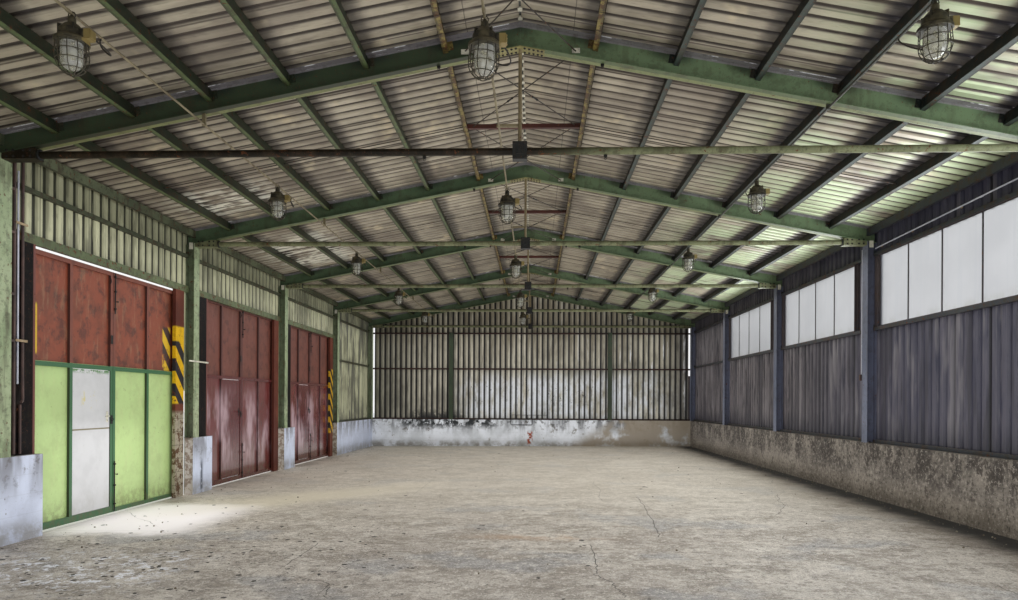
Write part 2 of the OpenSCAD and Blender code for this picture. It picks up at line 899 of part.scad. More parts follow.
// Linings with their grid of bars, and the flat plate between a lining and
// the column behind it
module window_frames() {
    color("sienna")
        for (i = window_bays)
            translate([window_in, frames[i] + window_front, 0]) {
                difference() {
                    block([0, 0, window_low], [lining_d, window_w, window_high]);
                    block([-1, jamb_t, window_low + jamb_t],
                        [lining_d + 1, window_w - jamb_t, window_high - jamb_t]);
                }
                difference() {
                    block([bar_in, 0, window_low], [bar_in + window_d, window_w, window_high]);
                    for (k = [0:pane_count - 1])
                        block([0, window_bar + k * pane_step, window_low + window_bar],
                            [lining_d, (k + 1) * pane_step, window_high - window_bar]);
                }
                block([bar_in, window_w - 1, window_low],
                    [bar_in + jamb_t, window_w + window_rear - column_w / 2 - clear,
                        window_high]);
            }
}

module window_glass() {
    color([0.8, 0.85, 0.85, 0.5])
        for (i = window_bays, k = [0:pane_count - 1])
            translate([window_in + (rail_d - glass_t) / 2, frames[i] + window_front, 0])
                block([0, window_bar + k * pane_step, window_low + window_bar],
                    [glass_t, (k + 1) * pane_step, window_high - window_bar]);
}

// Lamp rows: distance from the hall's middle, drop of the conduit's middle
// under the rafters, and distance of a lamp behind the middle of its bay
lamp_rows = [[-3650, 120, 0], [-240, 830, 70], [3450, 38, 220]];
conduit_r = 12;
lamp_body_h = 235;
lamp_flange_r = 135;
lamp_neck_r = 32;
lamp_box = 80;
glass_r = 84;
glass_side = 150;
glass_cap = 72;
saddle_w = 40;
saddle_t = 30;

function conduit_z(row) = under(row[0]) - row[1];
function lamp_foot(row) = conduit_z(row) - conduit_r - lamp_body_h;

// Cast housing with its flange, neck and terminal box
module lamp_housings() {
    color("darkslategray")
        for (row = lamp_rows, i = [0:bay_count - 1])
            translate([row[0], bay_mid(i) + row[2], lamp_foot(row)]) {
                rotate_extrude()
                    polygon([
                        [0, 0], [lamp_flange_r, 0], [lamp_flange_r, 24], [lamp_flange_r - 28, 50],
                        [lamp_flange_r - 36, 105], [lamp_neck_r + 28, 150], [lamp_neck_r, 165],
                        [lamp_neck_r, lamp_body_h - 30], [conduit_r, lamp_body_h], [0, lamp_body_h]
                    ]);
                translate([lamp_flange_r - lamp_box / 2, -lamp_box / 2, 24])
                    cube([lamp_box, lamp_box, lamp_box]);
            }
}

// Clear well glass with a rounded end, open towards the housing
module lamp_glasses() {
    color([0.9, 0.9, 0.85, 0.6])
        for (row = lamp_rows, i = [0:bay_count - 1])
            translate([row[0], bay_mid(i) + row[2], lamp_foot(row)])
                rotate_extrude()
                    polygon(concat(
                        [[0, 0], [glass_r, 0]],
                        [for (a = [0:15:90]) [glass_r * cos(a), -glass_side - glass_cap * sin(a)]]
                    ));
}

module lamp_conduits() {
    color("gray")
        for (row = lamp_rows) {
            translate([row[0], frames[0] + web_t, conduit_z(row)])
                rotate([-90, 0, 0])
                    cylinder(h = length - 2 * web_t, r = conduit_r, $fn = 16);
            for (y = frames)
                if (abs(row[0]) > bay / 4) conduit_saddle(row, y);
                else conduit_arm(row, y);
        }
}

// Upright flat that hangs a conduit from a rafter
module conduit_saddle(row, y) {
    left = row[0] - saddle_w / 2;
    right = row[0] + saddle_w / 2;
    low = conduit_z(row) - conduit_r - sheet_t;
    across(y, saddle_t)
        polygon([[left, low], [right, low], [right, under(right)], [left, under(left)]]);
}

// Arm that carries the middle conduit from a hanger tube
module conduit_arm(row, y) {
    block([row[0], y - saddle_t / 2, conduit_z(row) - saddle_t / 2],
        [-hanger_dia / 2 - clear, y + saddle_t / 2, conduit_z(row) + saddle_t / 2]);
}

floor_slab();
plinth_left();
plinth_right();
plinth_gables();
columns_left();
columns_right();
gable_columns();
rafters();
ridge_splices();
ties();
hanger_clamps();
hangers();
purlins_left();
purlins_right();
eaves_beams();
ridge_struts();
roof_bracing();
sag_rods();
side_rails();
gable_rails();
gate_lintels();
gate_posts();
left_wall_sheets();
left_wall_over_gates();
right_wall_sheet();
gable_sheets();
corner_flashings();
roof_sheet_left();
roof_sheet_right();
ridge_cap();
verge_flashings();
window_frames();
window_glass();
gate1_left_leaf();
gate1_right_leaf();
gate1_wicket();
gate2_left_leaf();
gate2_right_leaf();
gate2_wicket();
gate3_left_leaf();
gate3_right_leaf();
gate3_wicket();
lamp_housings();
lamp_glasses();
lamp_conduits();
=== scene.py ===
import math
import bmesh
import bpy
import numpy as np
from mathutils import Matrix, Vector


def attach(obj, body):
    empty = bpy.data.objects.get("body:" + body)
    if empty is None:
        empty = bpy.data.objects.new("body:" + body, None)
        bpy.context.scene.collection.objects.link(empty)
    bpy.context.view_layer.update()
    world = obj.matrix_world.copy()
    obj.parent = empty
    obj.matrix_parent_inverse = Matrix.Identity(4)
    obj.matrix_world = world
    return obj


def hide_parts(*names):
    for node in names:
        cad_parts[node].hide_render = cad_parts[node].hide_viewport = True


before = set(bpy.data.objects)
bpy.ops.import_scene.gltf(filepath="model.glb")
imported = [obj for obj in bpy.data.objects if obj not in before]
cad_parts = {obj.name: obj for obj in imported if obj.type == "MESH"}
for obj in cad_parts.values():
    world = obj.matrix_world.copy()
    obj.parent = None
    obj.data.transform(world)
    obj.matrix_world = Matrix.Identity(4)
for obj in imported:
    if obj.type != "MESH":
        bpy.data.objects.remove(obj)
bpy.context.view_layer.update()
scene = bpy.context.scene
scene.view_settings.view_transform = "Standard"

# Main sizes of the hall, in metres, as the steelwork has them
hall = dict(half=6.0, bay=4.7, floorTop=0.15, floorLeft=0.07, plinthTop=1.1, ridgeUnder=5.8,
            slope=math.radians(11), rafterDepth=0.27, sheetIn=6.16, gableSheet=14.2,
            ribHeight=0.035, gateMids=(-2.295, 2.405, 7.105), gateHalf=1.915)
rise = math.tan(hall["slope"])
frameY = np.arange(7) * hall["bay"] - 14.1
bayY = frameY[:-1] + hall["bay"] / 2
roofRidge = hall["ridgeUnder"] + hall["rafterDepth"] / math.cos(hall["slope"])


def under(x):  # height of the rafter underside at a distance from the middle
    return hall["ridgeUnder"] - rise * np.abs(x)


def inScene(name, data):
    obj = bpy.data.objects.new(name, data)
    scene.collection.objects.link(obj)
    return obj


# camera: just inside the front end, looking along the hall
view = dict(place=(0.1881, -12.789, 1.787), turn=0.0366, roll=0.0053, focal=711.6351, width=1018,
            height=600, middle=401.59)
camera = bpy.data.cameras.new("hallCamera")
camera.sensor_fit = "HORIZONTAL"
camera.sensor_width = 36
camera.lens = view["focal"] * camera.sensor_width / view["width"]
camera.shift_y = (view["middle"] - view["height"] / 2) / view["width"]
camera.clip_start = 0.05
camera.clip_end = 400
cameraObject = inScene("hallCamera", camera)
cameraObject.matrix_world = (
    Matrix.Translation(view["place"]) @ Matrix.Rotation(view["turn"], 4, "Z")
    @ Matrix.Rotation(math.radians(90), 4, "X") @ Matrix.Rotation(view["roll"], 4, "Z"))
scene.camera = cameraObject
print("camera placed")


def tone(code):  # screen colour in hex, as linear light
    c = np.array(list(bytes.fromhex(code))) / 255
    c = np.where(c < 0.04045, c / 12.92, ((c + 0.055) / 1.055) ** 2.4)
    return (*c.tolist(), 1.0)


def put(socket, value):  # a link, a colour in hex or a plain value
    value = getattr(value, "socket", value)
    if isinstance(value, bpy.types.NodeSocket):
        socket.id_data.links.new(value, socket)
    else:
        socket.default_value = tone(value) if isinstance(value, str) else value


def addNode(tree, kind, inputs=None, **settings):
    node = tree.nodes.new("ShaderNode" + kind)
    for key, value in settings.items():
        setattr(node, key, value)
    for key, value in (inputs or {}).items():
        put(node.inputs[key], value)
    return node


class Field:
    # A value over the surface; sums, products and ramps of fields become nodes of its finish
    def __init__(self, finish, socket):
        self.finish, self.socket = finish, socket

    def calc(self, kind, other=0.0):
        return self.finish.value("Math", {0: self, 1: other}, operation=kind)

    def __add__(self, other):
        return self.calc("ADD", other)

    def __sub__(self, other):
        return self.calc("SUBTRACT", other)

    def __rsub__(self, other):
        return self.finish.value("Math", {0: other, 1: self}, operation="SUBTRACT")

    def __mul__(self, other):
        return self.calc("MULTIPLY", other)

    def __truediv__(self, other):
        return self.calc("DIVIDE", other)

    def __abs__(self):
        return self.calc("ABSOLUTE")

    def either(self, *others):  # the largest of them
        for other in others:
            self = self.calc("MAXIMUM", other)
        return self

    def ramp(self, low, high):  # 0 below low, 1 above high, eased
        return self.finish.value("MapRange", {"Value": self, "From Min": low, "From Max": high}, "Result",
                                 interpolation_type="SMOOTHSTEP")

    def band(self, low, high, soft=0.01):  # 1 between low and high
        return self.ramp(low - soft, low + soft) * self.ramp(high + soft, high - soft)

    def near(self, pitch, shift, reach, soft):  # 1 close to every multiple of pitch
        return (self - shift).calc("PINGPONG", pitch / 2).ramp(reach + soft, reach)

    def chance(self, pitch, shift=0.0):  # one random value for each step of pitch
        step = ((self - shift) / pitch).calc("FLOOR")
        return self.finish.value("TexWhiteNoise", {1: step}, noise_dimensions="1D")


class Finish:
    # One procedural finish: hands out fields worked out from Object coordinates
    def __init__(self, name):
        self.mat = bpy.data.materials.new(name)
        self.mat.use_nodes = True
        self.tree = self.mat.node_tree
        self.shader = self.tree.nodes["Principled BSDF"]
        own = self.add("TexCoord")  # own place and normal, so the finish moves with a gate that opens
        self.at = own.outputs["Object"]
        self.x, self.y, self.z = self.split(self.at)
        self.nx, self.ny, self.nz = self.split(own.outputs["Normal"])

    def split(self, vector):
        return [Field(self, part) for part in self.add("SeparateXYZ", {0: vector}).outputs]

    def add(self, kind, inputs=None, **settings):
        return addNode(self.tree, kind, inputs, **settings)

    def value(self, kind, inputs, output=0, **settings):
        return Field(self, self.add(kind, inputs, **settings).outputs[output])

    def moved(self, stretch=(1, 1, 1), shift=0.0):
        return self.add("Mapping", {"Vector": self.at, "Scale": stretch,
                                    "Location": (shift, shift * 0.7, shift * 1.3)}).outputs[0]

    def noise(self, scale, shift=0.0, rough=0.7, detail=4.0, stretch=(1, 1, 1)):
        return self.value("TexNoise", {"Vector": self.moved(stretch, shift), "Scale": scale,
                                       "Detail": detail, "Roughness": rough})

    def cracks(self, scale, stretch, bend):  # distance to the nearest crack line
        place = self.moved(stretch)
        wobble = self.add("TexNoise", {"Vector": place, "Scale": scale * 3, "Detail": 4.0})
        bent = self.add("Mix", {0: bend, 4: place, 5: wobble.outputs["Color"]}, data_type="VECTOR")
        return self.value("TexVoronoi", {"Vector": bent.outputs[1], "Scale": scale},
                          feature="DISTANCE_TO_EDGE")

    def mix(self, share, a, b):
        return self.value("Mix", {0: share, 6: a, 7: b}, 2, data_type="RGBA")

    def layers(self, base, *coats):  # coats of (mask, colour), each over the last
        for mask, colour in coats:
            base = self.mix(mask, base, colour)
        return base

    def bump(self, height, depth):
        return self.value("Bump", {"Height": height, "Distance": depth})

    def done(self, colour, rough=0.6, normal=None, metal=0.0, **more):
        more.update(Base_Color=colour, Roughness=rough, Metallic=metal)
        if normal:
            more["Normal"] = normal
        for key, value in more.items():
            put(self.shader.inputs[key.replace("_", " ")], value)
        return self.mat


def concreteFloor():
    # Trowelled slab: cloudy greys, stains, hair cracks, dirt and painted shadow along the walls, painted
    # daylight by the gates
    f = Finish("floorConcrete")
    cloud = f.noise(0.45, rough=0.6)
    patch = f.noise(1.5, 3, 0.68)
    drag = f.noise(2.6, 8, 0.72, 3, stretch=(0.6, 1.1, 1))
    sweepFine = f.noise(11, 88, 0.8, 3, stretch=(0.9, 1, 1))
    grit = f.noise(60, detail=2)
    grain = f.noise(42, 63, 0.75, 3, stretch=(1, 0.6, 1))
    base = f.mix(cloud.ramp(0.34, 0.66), "aca399", "c8c0b5")
    base = f.layers(
        base,
        (patch.ramp(0.49, 0.62) * 0.65, "8a8176"),
        (drag.ramp(0.5, 0.6) * 0.6, "82786a"),
        (f.noise(2.3, 33, detail=3).ramp(0.54, 0.66) * 0.55, "d6d0c6"),
        (f.noise(0.8, 21, 0.6, 3).ramp(0.54, 0.64) * 0.55, "8e9196"),
        (f.noise(5, 5, 0.8).ramp(0.56, 0.66) * 0.55, "70675c"),
        (sweepFine.ramp(0.54, 0.64) * 0.62, "686056"),
        (sweepFine.ramp(0.45, 0.36) * 0.55, "e8e2d8"),
        (f.noise(19, 51).ramp(0.6, 0.67) * 0.8, "4a423a"),
        (grit.ramp(0.51, 0.64) * 0.64, "5a524a"),
        (grain.ramp(0.56, 0.66) * 0.7, "e6e0d8"),
    )
    # painted shade towards the front end, and a painted shadow with brown damp along the foot of the window
    # wall
    front = f.y.ramp(-3.2, -8.0) * 0.3
    lift = f.y.ramp(-5.0, 2.0) * 0.42
    sideways = f.x + patch * 0.5
    # painted shadow, near black, at the foot of the window wall; a wider brown band of damp and painted
    # shade
    wallFootShadow = sideways.ramp(5.5, 6.02) * 0.96
    brownDampAndShade = sideways.ramp(5.0, 5.8) * 0.55
    wallLeft = f.x.ramp(-5.5, -6.0) * patch.ramp(0.35, 0.6) * 0.5
    farEnd = f.y.ramp(12.4, 14.0) * 0.5
    # a painted pool of daylight inside the first gate and a painted band of light running on from it, a
    # rust mark and spilt lime
    reachIn = f.y + patch * 0.7
    glow = f.x.band(-6.15, -4.3, 0.45) * reachIn.band(-3.6, -0.95, 0.3) * 0.97
    paintedLightBand = f.x.band(-5.0, -2.2, 1.2) * (reachIn - f.x * 0.9).band(2.5, 4.3, 0.7) * 0.7
    rustSpot = f.x.band(-0.5, 1.0, 0.5) * f.y.band(-4.15, -3.85, 0.22) * patch.ramp(0.4, 0.56) * 0.5
    scatter = f.noise(8, 40, 0.82)
    spill = f.x.band(-5.4, -3.4, 0.4) * f.y.band(-6.6, -5.0, 0.4) * scatter.ramp(0.53, 0.59) * 0.85
    litter = f.x.band(-6.2, -1.0, 1.0) * f.y.band(-9.0, -4.6, 0.6) * scatter.ramp(0.6, 0.63) * 0.85
    line = f.cracks(0.21, stretch=(1.0, 0.7, 1), bend=0.34)
    crack = line.ramp(0.0007, 0.0002) * f.noise(0.6, 12, 0.55, 2).ramp(0.46, 0.56) * 0.7
    # painted daylight on the slab's outer edge under the gates
    daylight = f.x.ramp(-6.15, -6.156) * f.y.band(-4.25, 9.1, 0.05)
    joint = f.y.near(4.7, 1.0, 0.003, 0.005) * patch.ramp(0.38, 0.5) * 0.4
    edgeSide = f.x.near(4.0, 2.0, 0.003, 0.005) * cloud.ramp(0.4, 0.55) * 0.35
    lines = crack.either(joint, edgeSide)
    base = f.layers(
        base, (front, "7c7876"), (lift, "ded4c2"), (farEnd, "968e7c"), (rustSpot, "b08c68"),
        (wallLeft, "68625a"), (glow, "faf5f6"), (paintedLightBand, "ded4be"),
        (litter, "3a3636"), (spill, "e8eaf2"), (brownDampAndShade, "605448"), (wallFootShadow, "100f0f"),
        (lines, "423a32"), (daylight, "fcfaf2"))
    return f.done(base, patch * 0.25 + 0.58, f.bump(drag * 0.5 + grit * 0.25, 0.006))


def limewash(name, clean, worn, bare, stain, wornShare, boardShare=0.3):
    # Whitewashed concrete: worn coat, bare patches, runs from the top edge, scratches and pits
    f = Finish(name)
    cloud = f.noise(1.1, rough=0.65)
    flakes = f.noise(3.0, 6, 0.74)
    runs = f.noise(2.6, 14, 0.65, 3, stretch=(1, 1, 0.22))
    grit = f.noise(70, detail=2)
    top = f.z.ramp(0.4, 1.1)
    foot = f.z.ramp(0.4, 0.14)
    boards = f.z.near(0.24, 0.15, 0.002, 0.006)
    pits = f.value("TexVoronoi", {"Vector": f.moved(shift=2), "Scale": 11.0})
    pit = pits.ramp(0.16, 0.08) * f.noise(1.9, 31, 0.55, 2).ramp(0.53, 0.63)
    scratch = (f.noise(9, 37, 0.5, 3, stretch=(1, 1, 0.12)).ramp(0.69, 0.72)
               * f.noise(1.2, 5, 0.55, 2).ramp(0.5, 0.6))
    base = f.mix(cloud.ramp(0.38, 0.62), clean, worn)
    base = f.layers(
        base,
        (flakes.ramp(0.64 - wornShare, 0.72 - wornShare), bare),
        (top * runs.ramp(0.44, 0.6) * 0.75, stain),
        (top * f.noise(6, 47, 0.72).ramp(0.54, 0.62) * 0.7, stain),
        (foot * flakes.ramp(0.35, 0.6), bare),
        (boards * boardShare, stain),
        (f.nz.ramp(0.6, 0.9) * 0.8, "7a7268"),
        (scratch * 0.8, clean),
        (pit * 0.6, "544e46"),
        (grit.ramp(0.58, 0.75) * 0.28, "645e56"),
    )
    return f, base, f.bump(flakes + grit * 0.3, 0.008)


def plinthBlocks():
    f, base, normal = limewash("plinthBlocks", "ccd4e8", "bac1d4", "a0a1a6", "686668", -0.03, 0.1)
    # beige end faces towards the front, mottled dark brown, and a dark run on the block at the second
    # column
    front = f.ny.ramp(-0.6, -0.9) * f.y.ramp(-4.2, -3.6)
    rough = f.noise(9, 19, 0.75).ramp(0.46, 0.56)
    run = f.y.band(0.18, 0.26, 0.05) * f.z.band(0.1, 0.66, 0.1) * f.noise(6, 9).ramp(0.36, 0.48)
    base = f.layers(base, (front * 0.85, "b0a696"), (front * rough * 0.8, "705c4a"), (run, "424854"))
    return f.done(base, 0.82, normal)


def plinthSide():
    # browner and blacker along its top, even beige at its foot
    f, base, normal = limewash("plinthSide", "968e84", "6c655e", "4c4540", "1e1a1a", 0.08, 0.22)
    brown = f.noise(2.6, 61, 0.78).ramp(0.5, 0.58) * f.z.ramp(0.36, 0.8) * 0.85
    pitted = f.noise(15, 67, 0.8, 3)
    foot = f.z.ramp(0.62, 0.3) * 0.5
    base = f.layers(base, (brown, "3c3530"), (foot, "867c6e"),
                    (pitted.ramp(0.54, 0.62) * 0.65, "302b28"),
                    (pitted.ramp(0.45, 0.38) * 0.55, "b0a89e"))
    return f.done(base, 0.85, normal)


def plinthEnds():
    f, base, normal = limewash("plinthEnds", "e8ecf4", "ced2d8", "969490", "303030", 0.04, 0.12)
    bareRight = (f.x + f.z * -1.6).ramp(0.9, 1.9) * f.noise(1.1, 17, 0.6).ramp(0.3, 0.46)
    brick = f.x.band(-0.1, 0.1, 0.03) * f.z.band(0.2, 0.66, 0.06) * f.noise(9, 3, 0.6, 3).ramp(0.45, 0.5)
    mould = f.z.ramp(0.66, 0.98) * f.x.band(-4.9, -1.2, 0.4) * f.noise(3.4, 26, 0.74).ramp(0.48, 0.55)
    base = f.layers(base, (bareRight * 0.9, "948876"), (mould, "282c2e"), (brick, "964a32"))
    return f.done(base, 0.85, normal)


def paintedSteel(name, coat, faded, share=0.0, grime=0.3, tint=None, gleam=0.3):
    # Old gloss paint: fading, brown runs, chips down to rust, dust on what faces up
    f, rust = Finish(name), "5c3824"
    cloud = f.noise(1.1, rough=0.65)
    streak = f.noise(6, 4, 0.65, 3, stretch=(1, 1, 0.2))
    mottle = f.noise(9, 29, 0.75, 3)
    chips = f.noise(14, 11, 0.75)
    specks = f.noise(55, 2, detail=2)
    base = f.mix(cloud.ramp(0.35, 0.65), coat, faded)
    if tint:
        base = f.layers(base, *tint(f))
    chip = chips.ramp(0.64 - share, 0.68 - share)
    base = f.layers(
        base,
        (mottle.ramp(0.5, 0.64) * grime, "343024"),
        (streak.ramp(0.5, 0.68) * grime, "3a2e22"),
        (specks.ramp(0.62, 0.7) * 0.5, rust),
        (chip, rust),
        (f.nz.ramp(0.5, 0.95) * 0.5, "787062"),
    )
    return f.done(base, chip * 0.3 + 0.5, f.bump(specks * 0.2 - chip, 0.0012), Specular_IOR_Level=gleam)


def purlinTint(f):
    # Beside the ridge olive and rusty, towards the windows nearly black; painted shade on the webs, painted
    # light on the bottom flanges
    side = abs(f.x)
    ridge = side.ramp(1.35, 1.15)
    dark = f.x.ramp(1.3, 1.6)
    # painted shade on the webs and painted light on the bottom flanges
    web = abs(f.nz).ramp(0.86, 0.7)
    flange = f.nz.ramp(-0.8, -0.93)
    lip = flange * ((side - 0.8) / 0.908).calc("FRACT").ramp(0.055, 0.066)
    return ((ridge, "80723e"),
            (ridge * f.noise(9, 7, 0.75).ramp(0.46, 0.54), "4e361c"),
            (dark * 0.9, "2e363a"),
            (web * (1 - ridge) * 0.8, "121814"),
            (flange * dark * 0.7, "3c4842"),
            (flange * f.x.ramp(-0.6, -1.4) * (1 - ridge) * 0.6, "54623c"),
            (lip * 0.55, "222218"))


def sideTint(f):
    # Upper rails on the gate side are darker below; painted shade on every underside; what stands before
    # the windows is blue-black
    window = f.x.ramp(5.5, 5.8)
    # painted shade on every underside
    under = f.nz.ramp(-0.6, -0.9)
    return ((f.z.ramp(4.6, 4.3) * f.x.ramp(-5.0, -5.5) * 0.65, "343828"),
            (under * 0.6, "24261e"), (window * 0.9, "2e323c"))


def columnTint(f):
    # Painted shade inside an I-section, behind its pale inner flange
    return ((abs(f.x).ramp(6.006, 6.012) * 0.62, "3a4436"),
            (f.noise(3.5, 44, 0.72).ramp(0.52, 0.6) * 0.5, "707e60"))


def windowColumnTint(f):
    # Inner flange grey-blue, paler towards its top; painted shade, deep blue, inside the section
    return ((f.z.ramp(2.4, 3.2) * 0.4, "5c5e68"), (f.x.ramp(6.006, 6.012) * 0.7, "5a5e74"))


def rafterTint(f):
    # Painted shade before the gates, painted light in greyer green before the windows; yellower lower
    # flange as painted light, with painted shade on its near half; pale upper one; painted purlin shadows
    # and painted daylight dots at the top of the web
    left = f.x.ramp(0.3, -0.3)
    near = f.y.ramp(-3.5, -4.5)
    low = f.nz.ramp(-0.8, -0.93)
    above = f.z + abs(f.x) * rise
    aside = (f.y / hall["bay"] + 0.5).calc("FRACT") - 0.5
    frontFace = f.ny.ramp(-0.6, -0.9)
    # painted shade on the near half of the lower flange
    nearHalf = aside.ramp(0.002, 0.0005) * low
    upper = above.ramp(roofRidge - 0.036, roofRidge - 0.03) * frontFace.either(low)
    # painted daylight dots along the top of the web
    daylightDots = (above.ramp(roofRidge - 0.013, roofRidge - 0.01) * frontFace
             * f.noise(2.6, 57, 0.6, 3, stretch=(1, 0.2, 0.2)).ramp(0.56, 0.6))
    # painted shadows of the purlins on the web
    shade = (above.ramp(roofRidge - 0.16, roofRidge - 0.03)
             * (abs(f.x) - 0.8).calc("PINGPONG", 0.454).ramp(0.36, 0.1))
    return ((left * near * 0.8, "262c20"), (left * 0.25, "40543a"),
            ((1 - left) * 0.6, "708462"),
            (shade * 0.7, "1a2222"),
            (low * 0.75, "808456"), (nearHalf * left * near * 0.9, "222a22"),
            (nearHalf * (1 - left * near) * 0.7, "485c42"),
            (upper * 0.85, "807c80"), (daylightDots, "eceef0"))


def tieTint(f):
    # Painted shade, nearly black, on its near face left of the hangers, green beyond; painted light on the
    # undersides
    left = f.x.ramp(1.2, 0.0)
    near = f.y.ramp(-3.5, -4.5)
    shadedFlank = f.ny.ramp(-0.2, -0.7)
    # painted light on the undersides
    under = f.nz.ramp(-0.2, -0.8)
    return ((left * near * 0.97, "1a160e"), (left * near * shadedFlank * 0.7, "18120c"),
            (under * (1 - left * near) * 0.35, "7c8060"))


def postTint(f):
    # Yellow and black warning bars on the rear posts of gates one and three; painted shade, near black, on
    # the front posts and dark maroon on faces towards the front end
    def bars(period):
        slant = f.z + f.y * 1.15
        return slant.calc("PINGPONG", period / 2).ramp(period * 0.24, period * 0.27)
    worn = f.noise(8, 5, 0.75).ramp(0.34, 0.42)
    postOne = f.y.band(-0.6, -0.22, 0.01)
    postThree = f.y.band(8.8, 9.2, 0.01)
    first = postOne * f.z.band(1.72, 3.08, 0.02) * worn
    third = postThree * f.z.band(0.8, 2.75, 0.02) * worn
    foot = postOne * f.z.ramp(1.62, 1.52)
    cracks = f.z.near(0.235, 0.05, 0.004, 0.004)
    bricks = f.noise(7, 73, 0.75).ramp(0.5, 0.54)
    along = ((f.y + 14.1) / 4.7).calc("FRACT")
    # painted shade, near black, on the front posts
    frontPostShade = along.ramp(0.3, 0.25) * f.nx.ramp(-0.8, -0.4)
    edge = along.band(0.128, 0.15, 0.002) * f.nx.ramp(0.5, 0.8)
    # painted shade, dark maroon, on faces towards the front end
    return ((f.ny.ramp(-0.5, -0.9) * 0.5, "4a2420"),
            (frontPostShade, "090608"), (edge * 0.85, "7c524c"),
            (first, "2c2a2e"), (first * bars(0.44).either(f.z.ramp(2.8, 2.84)), "d6aa1e"),
            (third, "2e2a28"), (third * bars(0.35), "c89c24"),
            (foot, "9e9684"), (foot * bricks, "5c4634"), (foot * cracks * 0.7, "605646"))


def ribbedSheet(name, depth, outward, along, across, tones, metal=0.0, rough=0.45, lap=0.8, lapShift=0.0,
                extra=None, contrast=1.0, crest=(0.45, 0.85), narrow=0.0, runs=1.0):
    # Ribbed sheet seen from inside: pale pans, painted shade in the recesses, streaks along the
    # ribs, dark side laps and rust by the fixings; the weather side has a coat of its own
    f = Finish(name)
    pan, recess, line, outside = tones.split()
    deep = depth(f)
    out = outward(f).ramp(0.15, 0.45)
    stretch = {"x": (0.12, 1, 1), "z": (1, 1, 0.12)}[along]
    place = {"x": f.x, "y": f.y}[across]
    streak = f.noise(7, 3, 0.68, 3, stretch=stretch)
    fine = f.noise(30, 9, 0.66, 3, stretch=stretch)
    cloud = f.noise(0.8, 1, 0.66, 3)
    sheetTone = place.chance(lap, lapShift)
    ribTone = place.chance(0.2, 0.06 if narrow else 0.16) * runs
    # painted shade in the recesses and, where narrow is given, on one flank of each rib
    recessShade = deep.ramp(*crest)
    if narrow:
        recessShade = (recessShade * 0.35).either(place.near(0.2, 0.06, narrow, 0.01))
    base = f.mix(recessShade * contrast, pan, recess)
    base = f.layers(
        base,
        (cloud.ramp(0.45, 0.68) * 0.4, recess),
        (sheetTone * 0.22, recess),
        (ribTone * 0.26, line),
        (streak.ramp(0.5, 0.66) * (0.5 * runs), line),
        (streak.ramp(0.46, 0.34) * (0.3 * runs), pan),
        (fine.ramp(0.56, 0.7) * (0.4 * runs), line),
        (place.near(lap, lapShift, 0.004 * runs, 0.006 * runs) * 0.85, line),
    )
    if extra:
        base = f.layers(base, *extra(f))
    wash = f.noise(2.2, 43, 0.6, 2, stretch=stretch)
    weather = f.layers(outside, (wash.ramp(0.46, 0.66) * 0.14, recess),
                       (streak.ramp(0.54, 0.7) * 0.12, line), (cloud.ramp(0.5, 0.7) * 0.14, line),
                       (sheetTone * 0.1, recess), (place.near(lap, lapShift, 0.003, 0.006) * 0.45, line),
                       (f.noise(13, 13, detail=3).ramp(0.66, 0.71) * 0.45, "704a2e"))
    base = f.mix(out, base, weather)
    return f.done(base, cloud * 0.3 + (rough - 0.12), f.bump(streak * 0.6, 0.004), metal)


def sideDepth(f):
    return (abs(f.x) - hall["sheetIn"]) / hall["ribHeight"]


def gableDepth(f):
    return (abs(f.y) - hall["gableSheet"]) / hall["ribHeight"]


def roofDepth(f):
    return (f.z + abs(f.x) * rise - roofRidge) / hall["ribHeight"]


def leftWallExtra(f):
    # darker just under the eaves, dark damp low down at the rear, greyer sheets beyond the gates
    low = f.z.ramp(1.9, 1.1) * f.noise(1.8, 4).ramp(0.42, 0.6)
    eaves = f.z.ramp(4.35, 4.55) * 0.35
    rear = f.y.ramp(8.5, 9.6) * f.noise(3, 36, stretch=(1, 1, 0.1)).ramp(0.48, 0.56) * 0.85
    return ((low * 0.6, "4a4a42"), (eaves, "3c3e2c"), (rear, "4a4a40"))


def rightWallExtra(f):
    # blue-grey near bays, brown-grey far ones, dark foot and top, painted shadows in the open side laps,
    # painted daylight in slits
    near = f.y.ramp(5.0, -2.0)
    wide = f.noise(2.4, 71, stretch=(1, 1, 0.1))
    # painted daylight in slits
    slits = (f.y.near(1.6, 0.405, 0.002, 0.003) * f.noise(2.2, 15, detail=3).ramp(0.56, 0.6)
             * f.z.band(1.2, 2.8, 0.1) * f.y.ramp(0.0, 3.0))
    shade = f.z.ramp(1.65, 1.1) * 0.7
    top = f.z.ramp(4.2, 4.4) * 0.55
    # painted shadows in the open side laps
    lapShadows = f.y.near(0.8, 0.01, 0.024, 0.012) * f.y.chance(0.8, 0.4).ramp(0.1, 0.5)
    return ((near * 0.68, "3c3e56"), (wide.ramp(0.5, 0.6) * 0.62, "2a2832"),
            (wide.ramp(0.46, 0.37) * 0.5, "8e8a8e"), (shade, "222232"),
            (top, "262636"), (lapShadows * 0.85, "0e0d14"), (slits, "f0f4f4"))


